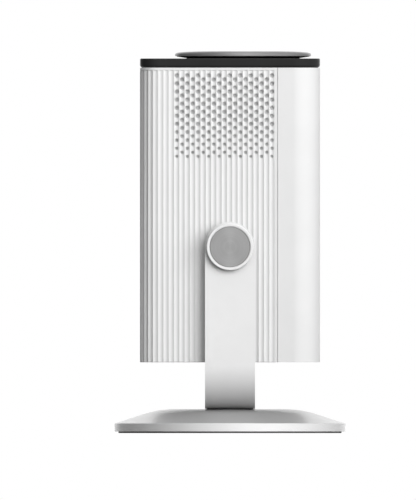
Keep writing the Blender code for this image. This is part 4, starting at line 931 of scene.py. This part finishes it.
def buildDial():
    values = dialLook
    height = dialHigh.z - capHigh.z
    radius = (dialHigh.x - dialLow.x) / 2
    low = dialLow.z - capHigh.z - values["lip"]
    tip = low + values["tip"]
    profile = []
    for i in range(values["crownSteps"] + 1):
        x = math.sin(i / values["crownSteps"] * math.pi / 2) ** 0.6
        z = (1 - x ** values["crown"]) ** (1 / values["crown"])
        profile.append((radius * x, tip + (height - tip) * z, 0))
    profile += [
        (radius - 0.0002, low, 0),
        (radius - 0.0012, low, 0),
        (radius - 0.0026, height - values["plate"], 0),
        (0, height - values["plate"], 0),
    ]
    at = (dialMiddle.x, 0, capHigh.z)
    turnedPiece("metalDial", profile, "spunMetal", "dial", ("dial_top",), at, up, 160)
    bottom = skirtLow.z - capHigh.z
    gap = 0.0003
    wide = radius - 0.0010
    skirt = [(0, low, 0), (wide, low, 0), (wide - 0.0001, low - 0.0003, 0)]
    skirt += [(values["neck"], gap, 0), (dialHub, gap, 0), (dialHub, bottom, 0.0004), (0, bottom, 0)]
    turnedPiece("dialSkirt", skirt, "blackPlastic", "dial", ("dial_skirt",), at, up, 160)
    outside, inside = values["neck"] - 0.0004, values["neck"] - values["felt"]
    felt = [(outside, gap, 0), (outside, 0, 0), (inside, 0, 0), (inside, gap, 0)]
    turnedPiece("dialFelt", felt, "deepBlack", "projector", (), at, up, 96)


buildDial()

buttonLook = {"dish": 0.0003, "edge": 0.0003, "flangeEdge": 0.0002}


def buildButton():
    values = buttonLook
    height = buttonHigh.z - capHigh.z
    flangeRadius = (buttonHigh.x - buttonLow.x) / 2
    bottom = buttonLow.z - capHigh.z
    flangeTop = -capLook["roof"] - 0.0003
    profile = []
    flat = buttonRadius - 2 * values["edge"]
    for i in range(7):
        x = i / 6
        profile.append((flat * x, height - values["dish"] * (1 - x * x), 0))
    profile += [
        (buttonRadius, height, values["edge"]),
        (buttonRadius, flangeTop, 0),
        (flangeRadius, flangeTop, values["flangeEdge"]),
        (flangeRadius, bottom, values["flangeEdge"]),
        (0, bottom, 0),
    ]
    at = (buttonMiddle.x, 0, capHigh.z)
    turnedPiece(
        "powerButton", profile, "blackPlastic", "power_button", ("power_button",), at, up, 72
    )


buildButton()
print("dial and button")

# Stand

baseLow, baseHigh, baseMiddle = boxOf("base_plate")
footLow, footHigh, footMiddle = boxOf("foot_pad")
yokeLow, yokeHigh, yokeMiddle = boxOf("yoke")

baseLook = {
    "rimHeight": 0.005,
    "rimEdge": 0.0005,
    "rimLowEdge": 0.0002,
    "flatRadius": 0.036,
    "shoulderRadius": 0.0463,
    "skirt": 0.0045,
    "wall": 0.004,
    "screwHole": 0.0024,
    "screwSpacing": 0.044,
}


def buildBase():
    values = baseLook
    radius = baseHigh.x
    top, bottom = baseHigh.z, footHigh.z
    rimTop = baseLow.z + values["rimHeight"]
    shoulder = Vector((values["shoulderRadius"], top))
    rim = Vector((radius, rimTop))
    blend = values["shoulderRadius"] - values["flatRadius"]
    start = shoulder - Vector((blend, 0))
    end = shoulder + (rim - shoulder).normalized() * blend
    profile = [(0, top, 0), (0.02, top, 0)]
    for i in range(13):
        t = i / 12
        point = (1 - t) ** 2 * start + 2 * t * (1 - t) * shoulder + t**2 * end
        profile.append((point.x, point.y, 0))
    slope = (top - rimTop) / (radius - values["shoulderRadius"])
    pocket = radius - values["skirt"]
    ceiling = top - values["wall"]
    ceilingRadius = values["shoulderRadius"] - values["skirt"] / 2
    profile += [
        (radius, rimTop, values["rimEdge"]),
        (radius, bottom, values["rimLowEdge"]),
        (pocket, bottom, 0.0002),
        (pocket, ceiling - slope * (pocket - ceilingRadius), 0),
        (ceilingRadius, ceiling, 0),
        (0, ceiling, 0),
    ]
    built = bmesh.new()
    turn(built, roundCorners(profile), 192)
    bmesh.ops.remove_doubles(built, verts=built.verts, dist=0.000002)
    mesh = meshOf(built)
    cutters = []
    for y in (-0.5, 0.5):
        at = (0, y * values["screwSpacing"], top)
        cutters.append(cylinderMesh(values["screwHole"], 3 * values["wall"], at, up, 32))
    settleMesh("baseShell", carve(mesh, cutters), "basePaint", "stand", ("base_plate",))
    thickness = footHigh.z
    step = pocket - 0.0005
    foot = [
        (0, baseLow.z, 0),
        (step, baseLow.z, 0),
        (step, thickness, 0),
        (footHigh.x, thickness, 0.0002),
        (footHigh.x, 0, 0.0003),
        (0.0005, 0, 0),
        (0, 0, 0),
    ]
    turnedPiece("rubberFoot", foot, "rubber", "stand", ("foot_pad",), (0, 0, 0), up, 160)


buildBase()

yokeLook = {
    "thickness": 0.004,
    "bend": 0.028,
    "edge": 0.0006,
    "bendSteps": 28,
    "endSteps": 48,
    "shaftHole": 0.0053,
    "screwHole": 0.0023,
    "seatLength": 0.033,
}


def buildYoke():
    values = yokeLook
    halfWidth = yokeHigh.x
    outerY = yokeHigh.y
    bottom = yokeLow.z
    flat = outerY - values["bend"]
    arc = values["bend"] * math.pi / 2
    pivot = flat + arc + tiltAxis - bottom - values["bend"]
    outline = []
    for side in (1, -1):
        for i in range(values["endSteps"] + 1):
            angle = side * math.pi / 2 - math.pi / 2 + math.pi * i / values["endSteps"]
            outline.append((halfWidth * math.cos(angle), side * pivot + halfWidth * math.sin(angle)))
    built = bmesh.new()
    half = values["thickness"] / 2
    stack(built, [[(x, y, z) for x, y in outline] for z in (-half, half)])
    cutters = []
    for side in (1, -1):
        cutters.append(cylinderMesh(values["shaftHole"], 0.02, (0, side * pivot, 0), up, 48))
        y = side * baseLook["screwSpacing"] / 2
        cutters.append(cylinderMesh(values["screwHole"], 0.02, (0, y, 0), up, 32))
    mesh = carve(meshOf(built), cutters, values["edge"], 3)
    built = bmesh.new()
    built.from_mesh(mesh)
    for side in (1, -1):
        for i in range(values["bendSteps"] + 1):
            bmesh.ops.bisect_plane(
                built,
                geom=built.verts[:] + built.edges[:] + built.faces[:],
                dist=0.0000001,
                plane_co=(0, side * (flat + arc * i / values["bendSteps"]), 0),
                plane_no=(0, 1, 0),
            )
    for vertex in built.verts:
        along, side = abs(vertex.co.y), math.copysign(1, vertex.co.y)
        radius = values["bend"] - vertex.co.z - half
        angle = min(max(along - flat, 0), arc) / values["bend"]
        rise = max(along - flat - arc, 0)
        vertex.co.y = side * (min(along, flat) + radius * math.sin(angle))
        vertex.co.z = bottom + values["bend"] - radius * math.cos(angle) + rise
    settle("yokeArm", built, "yokePaint", "stand", ("yoke",), crease=30)
    # black seat that closes the gap between the arm's foot and the base; it is black so that it also paints the
    # contact shade along that joint
    seat = bmesh.new()
    seatOutline = roundedRectangle(2 * (halfWidth - 0.001), 2 * values["seatLength"], 0.006, 8)
    stack(seat, [[(x, y, z) for x, y in seatOutline] for z in (baseHigh.z, bottom)])
    holes = [
        cylinderMesh(values["screwHole"], 0.02, (0, side * baseLook["screwSpacing"] / 2, bottom), up, 32)
        for side in (1, -1)
    ]
    seat = carve(meshOf(seat), holes)
    settleMesh("yokeSeatAndShade", seat, "deepBlack", "stand")


buildYoke()

hubLook = {
    "ringEdge": 0.0005,
    "ringLip": 0.0003,
    "bore": 0.0105,
    "faceEdge": 0.00015,
    "spacerEdge": 0.0003,
    "shaftGap": 0.0053,
}


def buildHubs():
    values = hubLook
    for name, side in sides:
        axis = (0, side, 0)
        at = (0, 0, tiltAxis)

        def reach(node):
            low, high, _ = boxOf(f"{node}_{name}")
            near, far = sorted((abs(low.y), abs(high.y)))
            return near, far, (high.x - low.x) / 2

        ringLow, ringHigh, ringRadius = reach("pivot_ring")
        faceLow, faceHigh, faceRadius = reach("pivot_face")
        seat = faceLow - 0.0003
        inner = faceRadius + 0.0003
        ring = [
            (inner, ringHigh - 0.0002, 0),
            (inner + values["ringLip"], ringHigh, 0),
            (ringRadius, ringHigh, values["ringEdge"]),
            (ringRadius, ringLow, 0.0002),
            (values["bore"], ringLow, 0),
            (values["bore"], seat, 0),
            (inner, seat, 0),
        ]
        turnedPiece(
            f"hubRing_{name}", ring, "yokePaint", "stand", (f"pivot_ring_{name}",), at, axis, 128
        )
        face = [
            (0, faceHigh, 0),
            (faceRadius, faceHigh, values["faceEdge"]),
            (faceRadius, faceLow, 0),
            (0, faceLow, 0),
        ]
        turnedPiece(
            f"hubFace_{name}", face, "spunMetal", "stand", (f"pivot_face_{name}",), at, axis,
            128,
        )
        spacerLow, spacerHigh, spacerRadius = reach("hub_spacer")
        spacer = [
            (values["shaftGap"], spacerHigh, 0),
            (spacerRadius, spacerHigh, values["spacerEdge"]),
            (spacerRadius, spacerLow, values["spacerEdge"]),
            (values["shaftGap"], spacerLow, 0),
        ]
        turnedPiece(
            f"hubSpacer_{name}", spacer, "whiteShell", "projector", (f"hub_spacer_{name}",), at,
            axis, 96,
        )


buildHubs()
print("stand")

# Front: bezel, window, lens and sensor

lensLook = {
    "bezelEdge": 0.0004,
    "windowEdge": 0.0002,
    "ledge": 0.0020,
    "shroudWall": 0.0012,
    "shroudSteps": 7,
    "stepEdge": 0.0005,
    "bulge": 0.0014,
    "lensSteps": 24,
    "irisOpening": 0.0042,
    "irisOuter": 0.0091,
    "irisThickness": 0.0006,
}


def buildFront():
    values = lensLook
    windowLow, windowHigh, _ = boxOf("lens_window")
    windowRadius = windowHigh.y
    front, back = bezelHigh.x, bezelLow.x
    outer = bezelHigh.y
    lip = windowRadius + 0.0003
    ledge = windowLow.x - 0.0003
    bezel = [
        (lip, front - 0.0005, 0),
        (lip + 0.0006, front, 0.0002),
        (outer, front, values["bezelEdge"]),
        (outer, back, 0),
        (windowRadius - values["ledge"], back, 0),
        (windowRadius - values["ledge"], ledge, 0),
        (lip, ledge, 0),
    ]
    at = (0, 0, lensAxis)
    forward = (1, 0, 0)
    turnedPiece(
        "lensRing", bezel, "spunMetal", "projector", ("lens_bezel",), at, forward, 160
    )
    window = [
        (0, windowHigh.x, 0),
        (windowRadius, windowHigh.x, values["windowEdge"]),
        (windowRadius, windowLow.x, 0),
        (0, windowLow.x, 0),
    ]
    turnedPiece(
        "windowGlass", window, "windowGlass", "projector", ("lens_window",), at, forward, 128
    )
    shroudLow, shroudHigh, _ = boxOf("lens_shroud")
    wide, wall = shroudHigh.y, values["shroudWall"]
    bore = 0.015
    outside, inside = [], []
    steps = values["shroudSteps"]
    mouth = wide - 2 * wall
    for i in range(steps):  # stepped baffle that keeps stray light off the lens
        near = shroudHigh.x - (shroudHigh.x - shroudLow.x) * i / steps
        far = shroudHigh.x - (shroudHigh.x - shroudLow.x) * (i + 1) / steps
        radius = mouth - (mouth - bore) * i / (steps - 1)
        inside += [(radius, near, values["stepEdge"] if i else 0), (radius, far, 0)]
        slant = min(wide, radius + 2 * wall)
        outside += [(slant, near, 0)]
    outside.append((bore + wall, shroudLow.x, 0))
    profile = outside + inside[::-1]
    turnedPiece(
        "lensShroud", profile, "blackCap", "projector", ("lens_shroud",), at, forward, 128
    )
    glassLow, glassHigh, _ = boxOf("front_lens")
    radius = glassHigh.y
    bulge = values["bulge"]
    shares = [i / values["lensSteps"] for i in range(values["lensSteps"] + 1)]
    lens = [(radius * t, glassHigh.x - bulge * t * t, 0) for t in shares]
    lens += [(radius * t, glassLow.x + bulge * t * t, 0) for t in reversed(shares)]
    turnedPiece("frontLens", lens, "lensGlass", "focus_lens", ("front_lens",), at, forward, 128)
    irisFront = glassLow.x - values["irisThickness"]
    irisBack = irisFront - values["irisThickness"]
    iris = [
        (values["irisOpening"], irisFront, 0.0001),
        (values["irisOuter"], irisFront, 0),
        (values["irisOuter"], irisBack, 0),
        (values["irisOpening"], irisBack, 0),
    ]
    turnedPiece("lensIris", iris, "deepBlack", "focus_lens", (), at, forward, 96)
    low, high, middle = boxOf("sensor_window")
    built = bmesh.new()
    size = high - low
    edgedSlab(built, plateOutline(size.y, size.z, size.z * 0.48, 12), 0, size.x, 0.0001, 0.0003, 3)
    toFront = Matrix(((0, 0, 1, low.x), (1, 0, 0, middle.y), (0, 1, 0, middle.z), (0, 0, 0, 1)))
    built.transform(toFront)
    settle("sensorWindow", built, "darkWindow", "projector", ("sensor_window",))


buildFront()
print("front")

# Rear: socket panel and what sits in it

panelLook = {"corner": 0.004, "edge": 0.0004, "gap": 0.0003}


def buildRear():
    values = panelLook
    size = panelHigh - panelLow
    built = bmesh.new()
    outline = plateOutline(size.y, size.z, values["corner"], 10)
    edgedSlab(built, outline, 0, size.x, 0.0001, values["edge"], 4)
    built.transform(Matrix(((0, 0, -1, panelHigh.x), (1, 0, 0, 0), (0, 1, 0, panelMiddle.z), (0, 0, 0, 1))))
    mesh = meshOf(built)
    cutters = []
    for node in ("hdmi_port", "usb_port"):
        low, high, middle = boxOf(node)
        gap = 2 * values["gap"]
        cutters.append(slabMesh(
            high.y - low.y + gap, high.z - low.z + gap, 0.0005, 0.012,
            (panelMiddle.x, middle.y, middle.z), (1, 0, 0), 4))
    for node in ("audio_jack", "dc_inlet"):
        low, high, middle = boxOf(node)
        radius = (high.y - low.y) / 2 + values["gap"]
        cutters.append(cylinderMesh(radius, 0.012, (panelMiddle.x, middle.y, middle.z), (1, 0, 0), 64))
    panel = carve(mesh, cutters)
    settleMesh("socketPanel", panel, "blackPlastic", "projector", ("io_panel",))

    backward = (-1, 0, 0)
    low, high, middle = boxOf("audio_jack")
    at = (low.x, middle.y, middle.z)
    length = high.x - low.x
    radius = (high.y - low.y) / 2
    jack = [
        (0, -length * 0.85, 0),
        (0.0018, -length * 0.85, 0),
        (0.0018, 0, 0.0003),
        (radius, 0, 0.0004),
        (radius, -length, 0),
        (0, -length, 0),
    ]
    turnedPiece("audioSocket", jack, "blackPlastic", "projector", ("audio_jack",), at, backward, 48)
    sleeve = [(0.00175, -0.0012, 0), (0.00179, -0.0012, 0), (0.00179, -0.008, 0), (0.00175, -0.008, 0)]
    turnedPiece("audioSleeve", sleeve, "steel", "projector", (), at, backward, 48)
    low, high, middle = boxOf("dc_inlet")
    at = (low.x, middle.y, middle.z)
    length = high.x - low.x
    radius = (high.y - low.y) / 2
    inlet = [
        (0, -0.009, 0),
        (0.0031, -0.009, 0),
        (0.0031, 0, 0.0004),
        (radius, 0, 0.0004),
        (radius, -length, 0),
        (0, -length, 0),
    ]
    turnedPiece("powerInlet", inlet, "blackPlastic", "projector", ("dc_inlet",), at, backward, 64)
    pin = [(0, -0.0015, 0), (0.0009, -0.0015, 0.0003), (0.0009, -0.0088, 0), (0, -0.0088, 0)]
    turnedPiece("inletPin", pin, "steel", "projector", (), at, backward, 32)
    for node, name, width, thickness in (
        ("hdmi_port", "videoTongue", 0.0108, 0.0011),
        ("usb_port", "usbTongue", 0.0112, 0.0018),
    ):
        low, high, middle = boxOf(node)
        built = bmesh.new()
        edgedSlab(built, plateOutline(width, thickness, 0.0003, 3), 0, 0.0078, 0.0001, 0.0002, 2)
        shift = 0.0 if node == "hdmi_port" else 0.0012
        built.transform(
            Matrix(((0, 0, -1, low.x + 0.0088), (1, 0, 0, middle.y), (0, 1, 0, middle.z + shift), (0, 0, 0, 1)))
        )
        settle(name, built, "blackPlastic", "projector")


buildRear()

clothLook = {"margin": 0.0025, "thickness": 0.00025, "gap": 0.00012}


def buildSpeakerCloth():
    # the acoustic cloth that is stuck flat behind the perforations
    pitch = flutePitch()
    width = holeLook["columns"] * pitch + 2 * clothLook["margin"]
    height = holeLook["rows"] * holeLook["rowPitch"] + 2 * clothLook["margin"]
    x = seamX - shellLook["land"] - holeLook["columns"] * pitch / 2
    z = shellHigh.z - holeLook["firstRowDrop"] - (holeLook["rows"] - 1) / 2 * holeLook["rowPitch"]
    z = min(z, shellHigh.z - height / 2 - 0.0002)
    for name, side in sides:
        built = bmesh.new()
        inner = sideY - shellLook["wall"] - clothLook["gap"]
        outline = roundedRectangle(width, height, 0.003, 6)
        levels = (side * (inner - clothLook["thickness"]), side * inner)
        stack(built, [[(x + a, y, z + b) for a, b in outline] for y in levels])
        cloth = settle(f"speakerCloth_{name}", built, "cloth", "projector")


buildSpeakerCloth()
print("rear")

# CAD pieces that stay get their finish here.

keptFinish = {
    "black_plastic": "blackPlastic",
    "rubber": "rubber",
    "steel": "steel",
    "iron_weight": "castIron",
    "cast_alloy": "castAlloy",
    "circuit_board": "board",
    "battery_wrap": "shrinkWrap",
    "speaker_cone": "conePaper",
    "white_shell": "whiteShell",
    "yoke_white": "yokePaint",
    "base_paint": "basePaint",
    "spun_aluminium": "spunMetal",
    "black_cap": "blackCap",
    "clear_glass": "windowGlass",
    "dark_window": "darkWindow",
}
slotOf = {entry["node"]: entry["material_slot"] for entry in frame["record"]["subparts"]}
for node, obj in frame["nodes"].items():
    finish = finishes[keptFinish[slotOf[node]]]
    if not obj.material_slots:
        obj.data.materials.append(finish)
    for slot in obj.material_slots:
        slot.material = finish
print("kept nodes", len(frame["nodes"]))

# Floor, light and camera

stageLook = {
    "floorRadius": 1.6,
    "floorGlow": 0.8,
    "floorBounce": 0.04,
    "keyAzimuth": 35,  # degrees to the right of straight ahead
    "keyElevation": 13,
    "keyStrength": 2.95,
    "keySoftness": 60,
    "rearAzimuth": 205,
    "rearElevation": 25,
    "rearStrength": 2.0,
    "rearSoftness": 60,
    "skyFront": 0.70,
    "skyLeft": 0.28,
    "skyBack": 0.6,
    "skyTop": 0.12,
    "skyBelow": 0.03,
    "mirrorDark": 0.25,
    "mirrorBright": 1.3,
    "mirrorAzimuth": 35,
    "mirrorBack": 1.05,
    "mirrorTop": 0.7,
    "mirrorBelow": 0.75,
    "viewDistance": 1.2,
    "viewCentre": (-0.0143, 0.119),
    "viewHeight": 0.325,
}


def buildFloor():
    built = bmesh.new()
    bmesh.ops.create_circle(built, cap_ends=True, segments=96, radius=stageLook["floorRadius"])
    mesh = bpy.data.meshes.new("floor")
    built.to_mesh(mesh)
    built.free()
    floor = bpy.data.objects.new("floor", mesh)
    floor.location.z = -0.0001
    bpy.context.scene.collection.objects.link(floor)
    material = bpy.data.materials.new("Pale floor")
    material.use_nodes = True
    tree = material.node_tree
    tree.nodes.clear()
    output = addNode(tree, "ShaderNodeOutputMaterial")
    seen = addNode(tree, "ShaderNodeAddShader")
    glow = addNode(tree, "ShaderNodeEmission")
    glow.inputs["Strength"].default_value = stageLook["floorGlow"]
    pale = addNode(tree, "ShaderNodeBsdfDiffuse")
    pale.inputs["Color"].default_value = grey(0.5)
    tree.links.new(glow.outputs[0], seen.inputs[0])
    tree.links.new(pale.outputs[0], seen.inputs[1])
    bounce = addNode(tree, "ShaderNodeBsdfDiffuse")
    bounce.inputs["Color"].default_value = grey(stageLook["floorBounce"])
    rays = addNode(tree, "ShaderNodeLightPath").outputs
    clear = addNode(tree, "ShaderNodeBsdfTransparent")
    unseen = addNode(tree, "ShaderNodeMixShader")
    tree.links.new(rays["Is Glossy Ray"], unseen.inputs[0])
    tree.links.new(bounce.outputs[0], unseen.inputs[1])
    tree.links.new(clear.outputs[0], unseen.inputs[2])
    choose = addNode(tree, "ShaderNodeMixShader")
    tree.links.new(rays["Is Camera Ray"], choose.inputs[0])
    tree.links.new(unseen.outputs[0], choose.inputs[1])
    tree.links.new(seen.outputs[0], choose.inputs[2])
    tree.links.new(choose.outputs[0], output.inputs[0])
    mesh.materials.append(material)


def buildWorld():
    # a white room to the camera; to the object a soft sky, brightest in front and behind, dark on the left
    values = stageLook
    world = bpy.data.worlds.new("studio")
    bpy.context.scene.world = world
    world.use_nodes = True
    tree = world.node_tree
    tree.nodes.clear()
    output = addNode(tree, "ShaderNodeOutputWorld")
    split = addNode(tree, "ShaderNodeSeparateXYZ")
    feed(tree, split.inputs[0], addNode(tree, "ShaderNodeTexCoord").outputs["Generated"])
    x, y, z = split.outputs
    front = spread(tree, y, 0.25, -0.85, 0.0, values["skyFront"])
    back = spread(tree, y, 0.3, 0.95, 0.0, values["skyBack"])
    side = spread(tree, x, -1.0, -0.25, values["skyLeft"], 1.0)
    around = calc(tree, "MULTIPLY", calc(tree, "ADD", calc(tree, "ADD", front, back), 0.2), side)
    above = spread(tree, z, 0.55, 0.85, 0.0, values["skyTop"])
    below = spread(tree, z, -0.06, 0.03, values["skyBelow"], 1.0)
    light = calc(tree, "MULTIPLY", calc(tree, "ADD", around, above), below)

    # what shiny surfaces mirror: one broad light to the right of the camera and a pale wall behind
    angle = math.radians(values["mirrorAzimuth"])
    toward = calc(tree, "MULTIPLY", x, math.sin(angle))
    toward = calc(tree, "MULTIPLY_ADD", y, -math.cos(angle), toward)
    toward = calc(tree, "POWER", calc(tree, "MULTIPLY_ADD", toward, 0.5, 0.5), 1.5)
    mirror = calc(tree, "MULTIPLY_ADD", toward, values["mirrorBright"] - values["mirrorDark"], values["mirrorDark"])
    wall = spread(tree, y, 0.75, 0.98, 0.0, values["mirrorBack"])
    ceiling = spread(tree, z, 0.25, 0.6, 0.0, values["mirrorTop"])
    ceiling = calc(tree, "MULTIPLY", ceiling, spread(tree, calc(tree, "ABSOLUTE", x), 0.1, 0.45, 1.0, 0.0))
    ceiling = calc(tree, "MULTIPLY", ceiling, spread(tree, y, -0.1, 0.2, 1.0, 0.0))
    mirror = calc(tree, "ADD", calc(tree, "ADD", mirror, wall), ceiling)
    ground = spread(tree, z, -0.25, -0.02, values["mirrorBelow"], 1.0)
    mirror = calc(tree, "MULTIPLY", mirror, ground)
    rays = addNode(tree, "ShaderNodeLightPath").outputs
    pick = addNode(tree, "ShaderNodeMix", data_type="FLOAT")
    for socket, value in zip(pick.inputs, (rays["Is Glossy Ray"], None, light, mirror)):
        if value is not None:
            feed(tree, socket, value)
    soft = addNode(tree, "ShaderNodeBackground")
    feed(tree, soft.inputs["Strength"], pick.outputs[0])
    white = addNode(tree, "ShaderNodeBackground")
    white.inputs["Color"].default_value = grey(1.0)
    choose = addNode(tree, "ShaderNodeMixShader")
    tree.links.new(rays["Is Camera Ray"], choose.inputs[0])
    tree.links.new(soft.outputs[0], choose.inputs[1])
    tree.links.new(white.outputs[0], choose.inputs[2])
    tree.links.new(choose.outputs[0], output.inputs[0])


def buildSun(name):
    values = stageLook
    azimuth = math.radians(values[name + "Azimuth"])
    elevation = math.radians(values[name + "Elevation"])
    source = Vector((
        math.sin(azimuth) * math.cos(elevation), -math.cos(azimuth) * math.cos(elevation), math.sin(elevation)))
    light = bpy.data.lights.new(name, "SUN")
    light.energy = values[name + "Strength"]
    light.angle = math.radians(values[name + "Softness"])
    lamp = bpy.data.objects.new(name, light)
    lamp.rotation_euler = source.to_track_quat("Z", "Y").to_euler()
    lamp.visible_glossy = False
    bpy.context.scene.collection.objects.link(lamp)


def buildCamera():
    values = stageLook
    camera = bpy.data.cameras.new("camera")
    camera.type = "ORTHO"
    camera.ortho_scale = values["viewHeight"]
    holder = bpy.data.objects.new("camera", camera)
    x, z = values["viewCentre"]
    holder.location = (x, -values["viewDistance"], z)
    holder.rotation_euler = (math.pi / 2, 0, 0)
    bpy.context.scene.collection.objects.link(holder)
    bpy.context.scene.camera = holder
    bpy.context.scene.view_settings.view_transform = "Standard"


buildFloor()
buildWorld()
buildSun("key")
buildSun("rear")
buildCamera()
print("stage")
